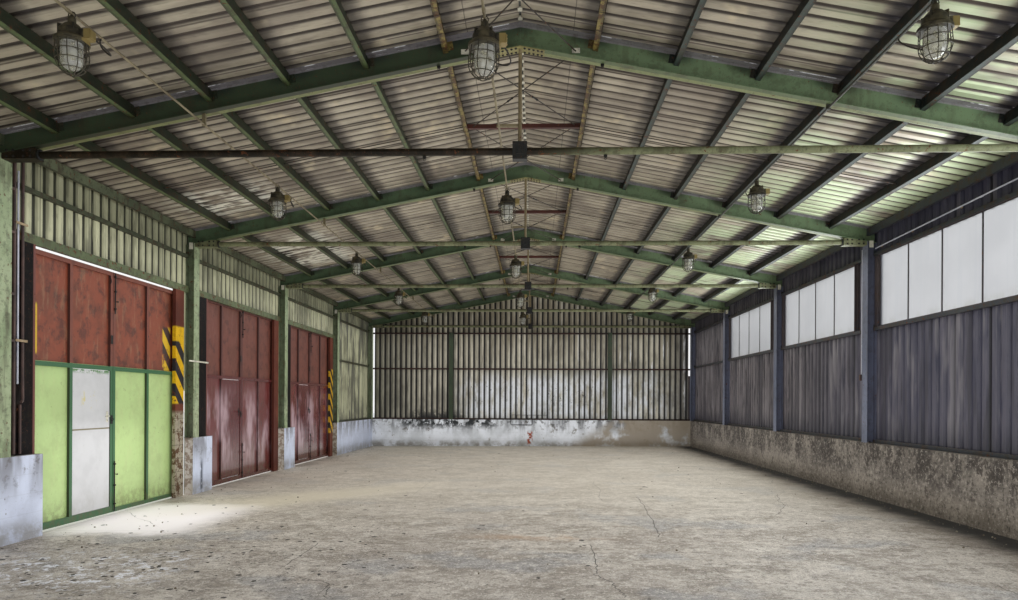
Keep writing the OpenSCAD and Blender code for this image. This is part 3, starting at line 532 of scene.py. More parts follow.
def gableExtra(f):
    # painted bluish highlights at the middle and right, painted gleam on the pans, painted shade on one
    # flank of each rib, brown haze above, black dots low down, dark corners
    # painted bluish highlights at the middle and right
    paintedHighlight = (f.x.band(-2.6, 5.2, 0.8) * f.z.band(1.1, 2.75, 0.35)
            * f.noise(2.0, 7, stretch=(1, 1, 0.4)).ramp(0.36, 0.6))
    # painted gleam on the pans
    gleam = (f.noise(5, 77, 0.65, stretch=(1, 1, 0.12)).ramp(0.56, 0.66) * f.x.ramp(-1.0, 4.0)
             * gableDepth(f).ramp(0.4, 0.1))
    haze = f.z.ramp(2.7, 4.6) * f.noise(1.6, 2, 0.66, stretch=(1, 1, 0.3)).ramp(0.34, 0.6)
    dots = (f.x.band(-2.4, 2.4, 0.3) * f.z.band(1.6, 2.5, 0.3)
            * f.noise(9, 19, 0.78, stretch=(1, 1, 0.5)).ramp(0.61, 0.65))
    damp = f.z.ramp(1.7, 1.15) * f.x.band(-4.6, -2.6, 0.3) * f.noise(3.2, 23, 0.74).ramp(0.4, 0.52)
    left = f.x.ramp(-3.0, -6.0)
    right = f.x.ramp(4.9, 6.1)
    # painted shade, near black, on one flank of each rib
    lines = f.x.near(0.2, 0.06, 0.034, 0.006)
    return ((paintedHighlight * 0.8, "ecf2fc"), (haze * 0.45, "887a5e"),
            (left * 0.45, "545448"), (right * 0.75, "2a2a36"),
            (gleam * 0.8, "f6f8fc"), (lines * 0.95, "0a0908"),
            (dots, "282828"), (damp, "222222"))


def roofExtra(f):
    # painted shade, brown-black beside each purlin and blue-black by the windows; painted green-white
    # reflections and painted gleam on the flat pans; painted light towards the front end and in patches by
    # the gate-side eaves
    side = abs(f.x)
    turn = (side - 0.8).calc("PINGPONG", 0.454)
    fuzz = f.noise(3.5, 91, detail=3)
    # painted shade beside each purlin, blue-black by the windows
    purlinShade = (turn + fuzz * 0.16).ramp(0.26, 0.1) * 0.78
    lapLine = side.near(40.0, 0.6, 0.003, 0.004) * 0.7
    flat = roofDepth(f).ramp(0.8, 0.3)
    # painted green-white reflections of the windows on the flat pans
    green = (f.x.ramp(2.4, 4.4) * f.noise(1.0, 5, 0.66, 3, stretch=(0.6, 1, 1)).ramp(0.38, 0.56) * flat
             * turn.ramp(0.08, 0.2))
    # painted gleam on the flat pans
    gleam = f.noise(1.3, 83, 0.66, 3, stretch=(1, 0.7, 1)).ramp(0.58, 0.7) * flat
    smoke = f.noise(0.7, 87, 0.66, 2).ramp(0.46, 0.64) * 0.45
    places = f.y.band(-1.7, -0.5, 0.4).either(f.y.band(1.6, 4.3, 0.5))
    # painted light patches by the gate-side eaves
    bright = (f.x.band(-5.7, -4.2, 0.4) * places * flat
              * f.noise(6, 95, detail=3, stretch=(0.2, 1, 1)).ramp(0.44, 0.54))
    far = f.y.ramp(0.0, 8.0) * f.x.ramp(1.0, -1.0) * 0.18
    # painted light towards the front end
    near = f.y.ramp(-4.5, -9.0) * flat * 0.22
    return ((smoke, "5c5048"), (far, "46443a"), (near, "ded8be"), (gleam * 0.5, "deceac"),
            (green * 0.75, "c8dab0"),
            (purlinShade * 0.9, "2c2624"), (purlinShade * f.x.ramp(2.0, 4.0) * 0.6, "282a3a"), (lapLine, "322c26"),
            (bright * 0.85, "f4f2e2"))


def gateSteel(name, upper, lower, bars, gloss, green):
    # Plate panels between bars: the bars stand proud of the plate, so the depth tells
    # them apart; painted shadow on the flanks of each bar, rust clouds above, drips and chips near the foot
    f = Finish(name)
    bar = f.x.ramp(-6.205, -6.203)
    outer = f.x.ramp(-6.2105, -6.2115)
    low = f.z.ramp(2.29, 2.284)
    cloud = f.noise(1.8, 3, 0.72)
    smear = f.noise(4, 9, 0.75)
    brush = f.noise(9, 52, stretch=(1, 1, 0.25))
    chips = f.noise(11, 17, 0.75)
    # painted shade on the flanks of the bars
    shadedFlank = abs(f.ny).ramp(0.7, 0.9) * bar
    base = f.mix(low, upper, lower)
    base = f.layers(
        base,
        (cloud.ramp(0.44, 0.64) * (0.5 - low * 0.4 if green else 0.45), "563022"),
        (smear.ramp(0.51, 0.63) * (0.7 - low * 0.62), "48221a"),
        (brush.ramp(0.52, 0.66) * 0.1, "cebe96" if green else "a07874"),
        (bar * low, bars),
        (bar * (1 - low) * 0.6, "703e32" if green else "482624"),
        (shadedFlank * 0.75, "261212"),
    )
    foot = f.z.ramp(0.55, 0.12) * chips.ramp(0.42, 0.58)
    chip = chips.ramp(0.655, 0.675) * (bar * 0.7 + 0.3)
    base = f.layers(base, (foot * 0.45, "60543e"), (chip, "3c2a20"))
    if green:
        # yellow marks left and right of the first gate, with black bars on the right one
        slant = (f.z + f.y * 1.15).calc("PINGPONG", 0.22).ramp(0.105, 0.118)
        inside = f.nx.ramp(-0.6, -0.2)
        markL = f.y.band(-4.06, -3.88, 0.012) * f.z.band(2.38, 3.02, 0.03) * smear.ramp(0.34, 0.44) * inside
        markR = f.y.band(-0.8, -0.54, 0.012) * f.z.band(2.29, 3.04, 0.03) * smear.ramp(0.34, 0.44) * inside
        base = f.layers(base, (markL.either(markR * slant), "d6b024"),
                        (markR * (0.9 - slant), "302a2a"))
    else:
        # painted pale sheen on the lower panels
        sheen = f.z.band(0.5, 1.9, 0.3) * f.noise(1.6, 66, 0.6, stretch=(1, 1, 0.35)).ramp(0.46, 0.66)
        base = f.layers(base, (sheen * 0.66, "ceb2ba"))
    base = f.mix(outer * 0.35, base, "683c30")
    shine = low * (gloss - 0.55) + cloud * 0.15 + 0.5
    return f.done(base, shine, f.bump(cloud * 0.7 - chips * 0.4, 0.004))


def whiteDoor():
    # White wicket: seam at half height, yellow smear, grey hand marks and a dirty foot
    f = Finish("whiteDoor")
    cloud = f.noise(2.5, 5)
    seam = f.z.band(1.352, 1.372, 0.002)
    smear = f.y.band(-3.0, -2.7, 0.05) * f.z.band(1.66, 1.88, 0.05) * f.noise(9, 3, 0.75).ramp(0.52, 0.58)
    foot = f.z.ramp(0.6, 0.15) * cloud.ramp(0.4, 0.62)
    specks = f.noise(26, 8, 0.75).ramp(0.68, 0.72)
    rim = f.z.ramp(2.14, 2.2) * f.noise(12, 27).ramp(0.44, 0.5)
    base = f.mix(cloud.ramp(0.4, 0.65), "c9cacc", "c1c2c4")
    base = f.layers(base, (smear * 0.7, "cec064"), (foot * 0.18, "a09a88"),
                    (seam, "80785c"), (rim, "5c8454"), (specks * 0.6, "827058"))
    return f.done(base, 0.42, f.bump(cloud, 0.002))


def bareMetal(name, light, dark, rough=0.4, metal=0.9, spots="60422c"):
    f = Finish(name)
    cloud = f.noise(3, rough=0.65)
    fine = f.noise(40, 4)
    base = f.layers(f.mix(cloud.ramp(0.35, 0.65), light, dark), (fine.ramp(0.6, 0.68) * 0.6, spots))
    return f.done(base, cloud * 0.3 + (rough - 0.1), f.bump(fine, 0.001), metal)


def conduitCoat():
    # Pale olive on the left and middle runs, nearly black on the window side, rust in spots
    f = Finish("conduitCoat")
    cloud = f.noise(3, rough=0.65)
    spots = f.noise(24, 4).ramp(0.58, 0.66)
    base = f.mix(cloud.ramp(0.35, 0.65), "8a8064", "605640")
    base = f.layers(base, (f.x.ramp(1.5, 2.0), "34342c"), (spots * 0.5, "60422c"))
    return f.done(base, 0.55, f.bump(cloud, 0.001), 0.1)


def paneGlass():
    # Milky window panes with faint upright lines, a little dirtier at their feet
    f = Finish("paneGlass")
    cloud = f.noise(1.2, rough=0.6)
    fluted = f.noise(11, 6, 0.6, 3, stretch=(1, 1, 0.04)).ramp(0.5, 0.62) * 0.35
    low = f.z.ramp(3.3, 3.12) * f.noise(5, 2).ramp(0.4, 0.6)
    base = f.mix(cloud.ramp(0.3, 0.7), (0.66, 0.67, 0.69, 1), (0.6, 0.61, 0.63, 1))
    base = f.layers(base, (fluted, (0.56, 0.58, 0.61, 1)), (low * 0.5, (0.45, 0.45, 0.42, 1)))
    return f.done(base, cloud * 0.1 + 0.25, Transmission_Weight=1.0, IOR=1.2)


def lampGlass():
    # Well glass under a film of cream dust, thicker in patches
    f = Finish("lampGlass")
    dust = f.noise(18)
    base = f.mix(dust.ramp(0.4, 0.7), (0.96, 0.97, 0.93, 1), (0.72, 0.7, 0.56, 1))
    return f.done(base, dust.ramp(0.45, 0.75) * 0.35 + 0.03, Transmission_Weight=0.72, IOR=1.45)


def lampCast():
    # Nearly black castings under dust, the terminal box beside each lamp a dull gold
    f = Finish("lampCast")
    cloud = f.noise(9)
    first, *rest = [f.x.band(x + 0.122, x + 0.2, 0.004) for x in (-3.65, -0.24, 3.45)]
    box = first.either(*rest)
    base = f.mix(cloud.ramp(0.4, 0.62), "2c2a24", "544e3c")
    base = f.layers(base, (box * 0.8, "988652"), (f.nz.ramp(0.4, 0.9) * 0.4, "78705a"))
    return f.done(base, cloud * 0.3 + 0.3, f.bump(cloud, 0.002), 0.3)


def bulbGlass():
    f = Finish("bulbGlass")
    cloud = f.noise(30, rough=0.6, detail=3)
    return f.done(f.mix(cloud, "fafaf0", "ece8d4"), 0.2)


sideWall = (sideDepth, lambda f: f.nx * f.x.calc("SIGN"), "z", "y")
finishes = dict(
    floor=concreteFloor(), blocks=plinthBlocks(), side=plinthSide(), ends=plinthEnds(),
    columns=paintedSteel("columnGreen", "a4b08e", "889874", 0.03, grime=0.45, tint=columnTint),
    columnsRight=paintedSteel("columnDark", "72788c", "60687c", tint=windowColumnTint),
    gableColumns=paintedSteel("gableColumnGreen", "364430", "283426"),
    rafters=paintedSteel("rafterGreen", "566c50", "465a42", -0.01, tint=rafterTint),
    ties=paintedSteel("tieGreen", "7c8062", "62664c", 0.03, grime=0.5, tint=tieTint, gleam=0.15),
    dark=paintedSteel("clampDark", "242828", "1a1c1e"),
    olive=paintedSteel("ridgeOlive", "8c8658", "746e46", 0.04),
    hanger=paintedSteel("hangerBrown", "928668", "685c46", 0.05),
    purlins=paintedSteel("purlinGreen", "50603e", "3e4c32", 0.03, grime=0.55, tint=purlinTint),
    rails=paintedSteel("railGreen", "606850", "444c3a", 0.04, grime=0.75, tint=sideTint),
    gableRails=paintedSteel("gableRailRed", "301412", "22100f"),
    lintels=paintedSteel("lintelGreen", "626e4c", "505c3e", 0.07, grime=0.6),
    posts=paintedSteel("postBrown", "703e30", "562e26", grime=0.15, tint=postTint, gleam=0.08),
    struts=paintedSteel("strutBrown", "542c26", "3e221e", 0.02),
    rods=paintedSteel("rodDark", "2c2824", "38322a", 0.05),
    leftSheet=ribbedSheet("leftSheet", *sideWall, "cccca8 282a1c 3a3a28 a8b096", lap=1.0, lapShift=0.1,
                          extra=leftWallExtra, crest=(0.5, 0.85)),
    rightSheet=ribbedSheet("rightSheet", *sideWall, "7a7478 3c3840 18161e 686c7c", extra=rightWallExtra,
                           contrast=0.75, runs=1.6),
    gableSheet=ribbedSheet("gableSheet", gableDepth, lambda f: f.ny * f.y.calc("SIGN"), "z", "x",
                           "d6d0be 0c0b09 3c3830 969896", lap=1.0, extra=gableExtra, narrow=0.02),
    roofSheet=ribbedSheet("roofSheet", roofDepth, lambda f: f.nz, "x", "y", "bab09c 3e3730 4c433a 969590",
                          metal=0.25, rough=0.42, lap=1.0, lapShift=0.05, extra=roofExtra,
                          crest=(0.3, 0.9), runs=0.6),
    flashing=bareMetal("flashing", "a8aaa8", "888a88", 0.45, 0.6),
    windowBars=paintedSteel("windowBrown", "4e4646", "3c383e", 0.03),
    pane=paneGlass(), lampGlass=lampGlass(), bulb=bulbGlass(),
    gateGreen=gateSteel("gateGreen", "844028", "b4ce8a", "34623e", 0.35, True),
    gateRed=gateSteel("gateRed", "6e3c30", "6c3634", "5c2a2a", 0.14, False),
    wicketWhite=whiteDoor(),
    lampMetal=lampCast(),
    conduit=conduitCoat(),
    bolts=bareMetal("boltDark", "242220", "161514", 0.5, 0.3),
    wire=bareMetal("cageWire", "4a4638", "2e2b22", 0.45, 0.3),
    pale=paintedSteel("paleSteel", "e2e0d0", "c8c4b2"),
    cable=bareMetal("cableBlack", "242220", "34302a", 0.6, 0.0),
    whitePipe=bareMetal("conduitWhite", "ced0dc", "acb0be", 0.35, 0.0, "787064"),
    darkPipe=bareMetal("pipeBrown", "543e38", "382a28", 0.5, 0.1),
    stone=bareMetal("rubble", "9e9686", "645848", 0.85, 0.0, "3c3228"),
    screws=bareMetal("screwZinc", "cececc", "a09e98", 0.35, 0.5),
    brass=bareMetal("clampBeige", "b2a080", "8c785c", 0.5, 0.2),
)
nodeFinish = dict(
    floor="floor_slab", blocks="plinth_left", side="plinth_right", ends="plinth_gables",
    columns="columns_left", columnsRight="columns_right", gableColumns="gable_columns", rafters="rafters",
    olive="ridge_splices", ties="ties", dark="hanger_clamps", hanger="hangers",
    purlins="purlins_left purlins_right", rails="eaves_beams side_rails", struts="ridge_struts",
    rods="roof_bracing sag_rods", gableRails="gable_rails", lintels="gate_lintels", posts="gate_posts",
    leftSheet="left_wall_sheets left_wall_over_gates", rightSheet="right_wall_sheet",
    gableSheet="gable_sheets", flashing="corner_flashings ridge_cap verge_flashings",
    roofSheet="roof_sheet_left roof_sheet_right", windowBars="window_frames", pane="window_glass",
    gateGreen="gate1_left_leaf gate1_right_leaf", wicketWhite="gate1_wicket",
    gateRed="gate2_left_leaf gate2_right_leaf gate2_wicket gate3_left_leaf gate3_right_leaf gate3_wicket",
    lampMetal="lamp_housings", lampGlass="lamp_glasses", conduit="lamp_conduits")
for key, names in nodeFinish.items():
    for name in names.split():
        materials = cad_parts[name].data.materials
        if not materials:
            materials.append(None)
        for place in range(len(materials)):
            materials[place] = finishes[key]
print("finishes on the steelwork, sheets and gates")

# soft light inside the hall, plain sky outside
light = dict(down=700, up=560, window=420, front=220, glow=11, sun=1.0, sky=0.75)


def softLamp(name, place, aim, width, depth, power, tint=(1, 1, 1)):
    lamp = bpy.data.lights.new(name, "AREA")
    lamp.shape = "RECTANGLE"
    lamp.size, lamp.size_y, lamp.energy, lamp.color = width, depth, power, tint
    holder = inScene(name, lamp)
    holder.matrix_world = Matrix.Translation(place) @ aimed(aim)
    holder.visible_camera = False


def aimed(way):
    return Vector(way).to_track_quat("-Z", "Y").to_matrix().to_4x4()


softLamp("fillDown", (0, 0, 4.42), (0, 0, -1), 11.6, 27.6, light["down"])
softLamp("fillUp", (0, 0, 0.25), (0, 0, 1), 11.6, 27.6, light["up"])
for y in bayY[1:5]:
    softLamp("windowLight", (5.9, y, 3.75), (-1, 0, 0.05), 3.8, 1.1, light["window"] / 4, (0.95, 0.98, 1))
softLamp("frontLight", (0, -13.6, 2.6), (0, 1, 0.05), 11, 3.4, light["front"])
softLamp("gateGlow", (-5.2, -2.5, 1.5), (0, 0, -1), 1.4, 2.2, light["glow"], (1, 0.98, 0.99))
sun = bpy.data.lights.new("daylight", "SUN")
sun.energy, sun.angle = light["sun"], math.radians(25)
inScene("daylight", sun).matrix_world = aimed((0.55, 0.6, -0.75))

# plain sky: a white backdrop where camera, gloss or glass look at it, softer as a light
world = bpy.data.worlds.new("plainSky")
scene.world = world
world.use_nodes = True
tree = world.node_tree
tree.nodes.clear()
rays = addNode(tree, "LightPath").outputs
seen = rays["Is Camera Ray"]
for ray in ("Is Glossy Ray", "Is Transmission Ray"):
    seen = addNode(tree, "Math", {0: seen, 1: rays[ray]}, operation="MAXIMUM").outputs[0]
sky = addNode(tree, "Background", {0: (0.93, 0.96, 1, 1), 1: light["sky"]})
backdrop = addNode(tree, "Background", {0: (1, 1, 1, 1)})
both = addNode(tree, "MixShader", {0: seen, 1: sky.outputs[0], 2: backdrop.outputs[0]})
addNode(tree, "OutputWorld", {0: both.outputs[0]})
print("light and sky set")


def at(x, y, z):  # points from three coordinates, each a number or a row of them
    return np.stack(np.broadcast_arrays(x, y, z), -1).astype(float)


def gridQuads(rows, cols, around=False, along=False):
    # Corner numbers of a grid's cells; around joins last column to first, along last row to first
    r, c = np.meshgrid(np.arange(rows if along else rows - 1), np.arange(cols if around else cols - 1),
                       indexing="ij")
    r2, c2 = (r + 1) % rows, (c + 1) % cols
    return np.stack([r * cols + c, r * cols + c2, r2 * cols + c2, r2 * cols + c], -1).reshape(-1, 4)


def circle(count):
    return np.linspace(0, 2 * np.pi, count, endpoint=False)


def unit(v):
    return v / np.linalg.norm(v, axis=-1, keepdims=True)


def tube(path, radius, sides=8, ring=False):
    # p(s, a) = path(s) + radius (u cos a + v sin a), with u and v square to the path
    path = np.asarray(path, float)
    run = np.roll(path, -1, 0) - np.roll(path, 1, 0) if ring else np.gradient(path, axis=0)
    lean = np.eye(3)[np.argmin(np.ptp(path, axis=0))] + 0.001
    u = unit(np.cross(run, lean))
    v = unit(np.cross(run, u))
    a = circle(sides)
    points = path[:, None] + radius * (u[:, None] * np.cos(a)[:, None] + v[:, None] * np.sin(a)[:, None])
    faces = [gridQuads(len(path), sides, True, ring)]
    if not ring:
        faces += [np.arange(sides)[None, ::-1], np.arange(sides)[None] + (len(path) - 1) * sides]
    return points.reshape(-1, 3), faces


def lathe(profile, sides=16):
    # p(s, a) = (r(s) cos a, r(s) sin a, h(s)), closed by a flat cap at both ends
    profile = np.asarray(profile, float)
    a = circle(sides)
    r, h = profile[:, :1], profile[:, 1:]
    points = at(r * np.cos(a), r * np.sin(a), h)
    rows = len(profile)
    faces = [gridQuads(rows, sides, True), np.arange(sides)[None, ::-1],
             np.arange(sides)[None] + (rows - 1) * sides]
    return points.reshape(-1, 3), faces


def block(sx, sy, sz, bevel=0.003):
    # A rectangle with cut corners, carried up in four rings, the outer two drawn in by the bevel
    hx, hy, b = sx / 2, sy / 2, bevel
    edge = np.array([[hx - b, -hy], [hx, b - hy], [hx, hy - b], [hx - b, hy],
                     [b - hx, hy], [-hx, hy - b], [-hx, b - hy], [b - hx, -hy]])
    inner = edge - b * np.sign(edge)
    rings = np.stack([inner, edge, edge, inner])
    heights = np.array([0, b, sz - b, sz])[:, None, None] + 0 * rings[:, :, :1]
    points = np.concatenate([rings, heights], -1).reshape(-1, 3)
    return points, [gridQuads(4, 8, True), np.arange(8)[None, ::-1], np.arange(8)[None] + 24]


def merged(*shapes):
    points, faces, start = [], [], 0
    for p, f in shapes:
        points.append(p)
        faces += [g + start for g in f]
        start += len(p)
    return np.concatenate(points), faces


def placed(shape, places, turns=None):
    # Copies of a shape: q = turn p + place, all at once
    points, faces = shape
    places = np.atleast_2d(places)
    n, count = len(places), len(points)
    if turns is None:
        turned = np.repeat(points[None], n, 0)
    else:
        turned = np.einsum("nij,pj->npi", np.broadcast_to(turns, (n, 3, 3)), points)
    shift = (np.arange(n) * count)[:, None, None]
    copies = [(f[None] + shift).reshape(-1, f.shape[1]) for f in faces]
    return (turned + places[:, None]).reshape(-1, 3), copies


def boxes(*rows):  # blocks of one size each, at their places
    return merged(*[placed(block(*size), places) for size, places in rows])


def facing(direction, spin=0.0):
    # Turns that carry a shape's Z to each direction
    d = unit(np.atleast_2d(np.asarray(direction, float)))
    lean = np.where(np.abs(d[:, 2:]) > 0.9, (1.0, 0, 0), (0, 0, 1.0))
    u = unit(np.cross(lean, d))
    v = np.cross(d, u)
    c, s = np.cos(spin), np.sin(spin)
    return at(u * c + v * s, v * c - u * s, d)


alongX, alongY, outLeft = facing((1, 0, 0)), facing((0, 1, 0)), facing((-1, 0, 0))


def curve(stations, count=24):
    # Points of one Bezier curve through control stations: sum of C(n,k) t^k (1-t)^(n-k) p(k)
    stations = np.asarray(stations, float)
    n = len(stations) - 1
    t = np.linspace(0, 1, count)[:, None]
    k = np.arange(n + 1)
    weight = np.array([math.comb(n, i) for i in k]) * t ** k * (1 - t) ** (n - k)
    return weight @ stations


def boltHead(r):
    # Round washer with a six-sided head on it
    washer = lathe([(r * 1.7, 0), (r * 1.7, r * 0.22), (r * 1.5, r * 0.3)], 10)
    head = lathe([(r, r * 0.25), (r, r * 0.9), (r * 0.75, r * 1.15)], 6)
    return merged(washer, head)


def piece(name, shape, finish, slotName, body="hall", sharp=35):
    points, faces = shape
    mesh = bpy.data.meshes.new(name)
    mesh.from_pydata(points.tolist(), [], [row for part in faces for row in part.tolist()])
    work = bmesh.new()
    work.from_mesh(mesh)
    bmesh.ops.recalc_face_normals(work, faces=work.faces)
    work.to_mesh(mesh)
    work.free()
    mesh.polygons.foreach_set("use_smooth", np.ones(len(mesh.polygons), bool))
    mesh.set_sharp_from_angle(angle=math.radians(sharp))
    mesh.materials.append(finishes[finish])
    obj = inScene(name, mesh)
    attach(obj, body)
    print("made", name, len(mesh.polygons), "faces")
    return obj


rng = np.random.default_rng(7)

# lamps: glass, cage, bulb and fittings hang from the conduits
lamps = dict(rows=((-3.65, 0.12, 0.0), (-0.24, 0.83, 0.07), (3.45, 0.038, 0.22)), bodyHeight=0.235,
             glassR=0.084, glassSide=0.15, glassCap=0.072, wall=0.004, cageR=0.118, cageBars=10,
             wireR=0.0042)
lampFeet = np.array([(x, y + back, under(x) - drop - 0.012 - lamps["bodyHeight"])
                     for x, drop, back in lamps["rows"] for y in bayY])


def glassWall(r, cap):
    # Straight side, then a quarter of an ellipse: (r cos t, -side - cap sin t)
    side = lamps["glassSide"]
    a = np.linspace(0, np.pi / 2, 9)[:-1]
    bowl = [(r * math.cos(t), -side - cap * math.sin(t)) for t in a]
    return [(r, -0.001)] + bowl + [(0.004, -side - cap)]


def glassShell():
    # Outer and inner well profile, joined at the rim, turned about the lamp's axis
    r, cap, wall = lamps["glassR"], lamps["glassCap"], lamps["wall"]
    profile = glassWall(r, cap) + glassWall(r - wall, cap - wall)[::-1]
    return lathe(profile, 24)[0], [gridQuads(len(profile), 24, True, True)]


piece("lamp_wells", placed(glassShell(), lampFeet), "lampGlass", "lamp_glass", sharp=60)
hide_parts("lamp_glasses")


def bulb():
    # Screw cap and pear-shaped bulb
    cap = lathe([(0.013, 0.0), (0.0135, -0.008), (0.0125, -0.012), (0.0135, -0.016), (0.0125, -0.02),
                 (0.0135, -0.024), (0.012, -0.03)], 12)
    pear = lathe([(0.012, -0.03), (0.016, -0.045), (0.026, -0.065), (0.032, -0.085), (0.033, -0.1),
                  (0.029, -0.118), (0.018, -0.13), (0.003, -0.135)], 16)
    return merged(cap, pear)


piece("lamp_bulbs", placed(bulb(), lampFeet), "bulb", "lamp_glass", sharp=50)


def cage():
    # Upright wires that follow a bulging profile and close under the glass, with five rings
    R, w = lamps["cageR"], lamps["wireR"]
    s = np.linspace(0, 1, 12)
    radius = (R * (1 + 0.06 * np.sin(np.pi * s))
              * np.sqrt(np.clip(1 - np.clip((s - 0.45) / 0.56, 0, 1) ** 2.2, 0.02, 1)))
    height = 0.006 - 0.262 * s
    wires = []
    for a in circle(lamps["cageBars"]):
        wires.append(tube(at(radius * np.cos(a), radius * np.sin(a), height), w, 5))
    for row in (0, 3, 6, 9, 11):
        a = circle(20)
        wires.append(tube(at(radius[row] * np.cos(a), radius[row] * np.sin(a), height[row]), w, 5, True))
    return merged(*wires)


lean = facing(at(rng.normal(0, 0.05, 18), rng.normal(0, 0.05, 18), np.ones(18)), 0.3)
piece("lamp_cages", placed(cage(), lampFeet, lean), "wire", "lamp_metal", sharp=80)


def lampFittings():
    # Flange screws, hook, gland and the lid of the terminal box
    a = circle(6) + 0.3
    screws = placed(boltHead(0.007), at(0.118 * np.cos(a), 0.118 * np.sin(a), 0.028))
    t = circle(14)
    hook = tube(at(0.03 * np.cos(t), 0, 0.232 + 0.03 * np.sin(t)), 0.005, 6, True)
    lid = placed(block(0.07, 0.07, 0.008), (0.175, 0, 0.064), alongX)
    lidScrews = placed(boltHead(0.004),
                       [[0.183, y, 0.064 + z] for y in (-0.025, 0.025) for z in (-0.025, 0.025)], alongX)
    gland = placed(lathe([(0.014, 0), (0.014, 0.02), (0.017, 0.022), (0.017, 0.034), (0.009, 0.042)], 8),
                   (0.135, 0.04, 0.066), alongY)
    ribs = [placed(block(0.012, 0.05, 0.09), (0.08 * math.cos(b), 0.08 * math.sin(b), 0.05),
                   facing((0, 0, 1), b)) for b in (0.8, 2.4, 3.9, 5.4)]
    return merged(screws, hook, lid, lidScrews, gland, *ribs)


piece("lamp_fittings", placed(lampFittings(), lampFeet), "lampMetal", "lamp_metal")


def lampCables():
    # From a clip on the conduit down in a loop to the gland at the terminal box
    cables = []
    for number, (x, y, z) in enumerate(lampFeet):
        r = np.random.default_rng(number)
        sag, out, back = r.uniform(0.12, 0.42), r.uniform(0.05, 0.16), r.uniform(0.3, 0.6)
        top = z + lamps["bodyHeight"] + 0.004
        stations = [(x + 0.135, y + 0.075, z + 0.066), (x + 0.135 + out * 0.4, y + 0.15, z + 0.06),
                    (x + 0.135 + out, y + 0.2, z - sag * 0.4), (x + 0.05 + out, y + back * 0.7, z + 0.02),
                    (x - 0.02, y + back, top - 0.12), (x, y + back + 0.05, top)]
        cables.append(tube(curve(stations, 22), 0.007, 6))
    return merged(*cables)


piece("lamp_cables", lampCables(), "cable", "lamp_metal", sharp=80)


def conduitSleeves():
    # Couplings and strap clips along the three conduits
    shapes = []
    sleeve = lathe([(0.013, 0), (0.016, 0.002), (0.016, 0.05), (0.013, 0.052)], 10)
    for x, drop, _ in lamps["rows"]:
        z = under(x) - drop
        shapes.append(placed(sleeve, at(x, np.arange(-13.4, 13.6, 1.57), z), alongY))
        shapes.append(placed(block(0.05, 0.02, 0.034), at(x, frameY, z - 0.017)))
    return merged(*shapes)


piece("conduit_sleeves", conduitSleeves(), "conduit", "lamp_metal")
print("lamps dressed")

# places on the steelwork, in metres, as the frame has them
steel = dict(columnHalf=0.1, rafterHalf=0.075, web=0.004, tieZ=4.63, spliceLow=0.0103, purlinFirst=0.84,
             purlinStep=0.925, purlinHalf=0.03, purlinBase=0.1197, purlinDepth=0.14, purlins=6,
             sheetTop=0.309, rodEnd=0.63, rodUp=0.09)
purlinS = steel["purlinFirst"] + steel["purlinStep"] * np.arange(steel["purlins"])
rodHeight = under(steel["rodEnd"]) + steel["rodUp"]
bothWays = (-1, 1)
cosS, sinS = math.cos(hall["slope"]), math.sin(hall["slope"])
downSlope = np.array([[cosS, 0, sinS], [0, 1, 0], [-sinS, 0, cosS]])


def spread(*rows):  # every combination of the rows' values, one a line
    grid = np.meshgrid(*[np.asarray(row, float) for row in rows], indexing="ij")
    return np.stack(grid, -1).reshape(-1, len(rows))


def onSlope(side, s, y, up):
    # Point s down the slope and up square to it: x = side (s cos + up sin), z = ridge - s sin + up cos
    return at(side * (s * cosS + up * sinS), y, hall["ridgeUnder"] - s * sinS + up * cosS)


def flips(x, y):  # mirrors across the hall or along it, one for each place
    return at(x, y, 1)[:, None] * np.eye(3)


def slopeTurns(side, face=1):
    # Turns from slope axes to the hall's, mirrored left of the ridge and for the far face of a frame
    return flips(side, face) @ downSlope


def frameBolts():
    # On splice plates, tie brackets, hanger clamps and column feet
    bolt = boltHead(0.0095)
    side, s, y, row = spread(bothWays, (0.05, 0.1, 0.15, 0.2, 0.245), frameY, (-0.045, 0.045)).T
    splice = placed(bolt, at(side * s, y + row, under(s) - steel["spliceLow"]),
                    facing(at(-side * rise, 0, -1)))
    side, x, y, face, up = spread(bothWays, (5.66, 5.74, 5.86, 5.94), frameY, bothWays, (-0.035, 0.035)).T
    bracket = placed(bolt, at(side * x, y + face * steel["rafterHalf"], steel["tieZ"] + up),
                     facing(at(0, face, 0)))
    x, y, face, up = spread((-0.06, 0.06), frameY, bothWays, (-0.078, 0.078)).T
    clamp = placed(bolt, at(x, y + face * 0.055, steel["tieZ"] + up), facing(at(0, face, 0)))
    side, x, y, end = spread(bothWays, (6.04, 6.11), frameY, (-0.128, 0.128)).T
    foot = placed(boltHead(0.012), at(side * x, y + end, hall["plinthTop"] + 0.012))
    return merged(splice, bracket, clamp, foot)


piece("frame_bolts", frameBolts(), "bolts", "bare_rod")

# plate under each column, on the plinth
side, y = spread(bothWays, frameY).T
piece("column_feet", boxes(((0.145, 0.32, 0.012), at(side * 6.075, y, hall["plinthTop"]))),
      "rails", "green_steel")


def clampFaces():
    # Raised square plate and lug on both faces of each hanger clamp, flange plates where tube meets bracket
    y, face = spread(frameY, bothWays).T
    square = placed(block(0.085, 0.085, 0.008, 0.002), at(0, y + face * 0.055, steel["tieZ"]),
                    facing(at(0, face, 0)))
    rim = placed(tube([(0.028, 0.028, 0), (-0.028, 0.028, 0), (-0.028, -0.028, 0), (0.028, -0.028, 0)],
                      0.005, 6, True),
                 at(0, y + face * 0.064, steel["tieZ"]), facing(at(0, face, 0)))
    side, y = spread(bothWays, frameY).T
    flange = placed(lathe([(0.042, -0.016), (0.066, -0.014), (0.066, 0), (0.042, 0.002)], 16),
                    at(side * 5.596, y, steel["tieZ"]), facing(at(side, 0, 0)))
    return merged(square, rim, flange)


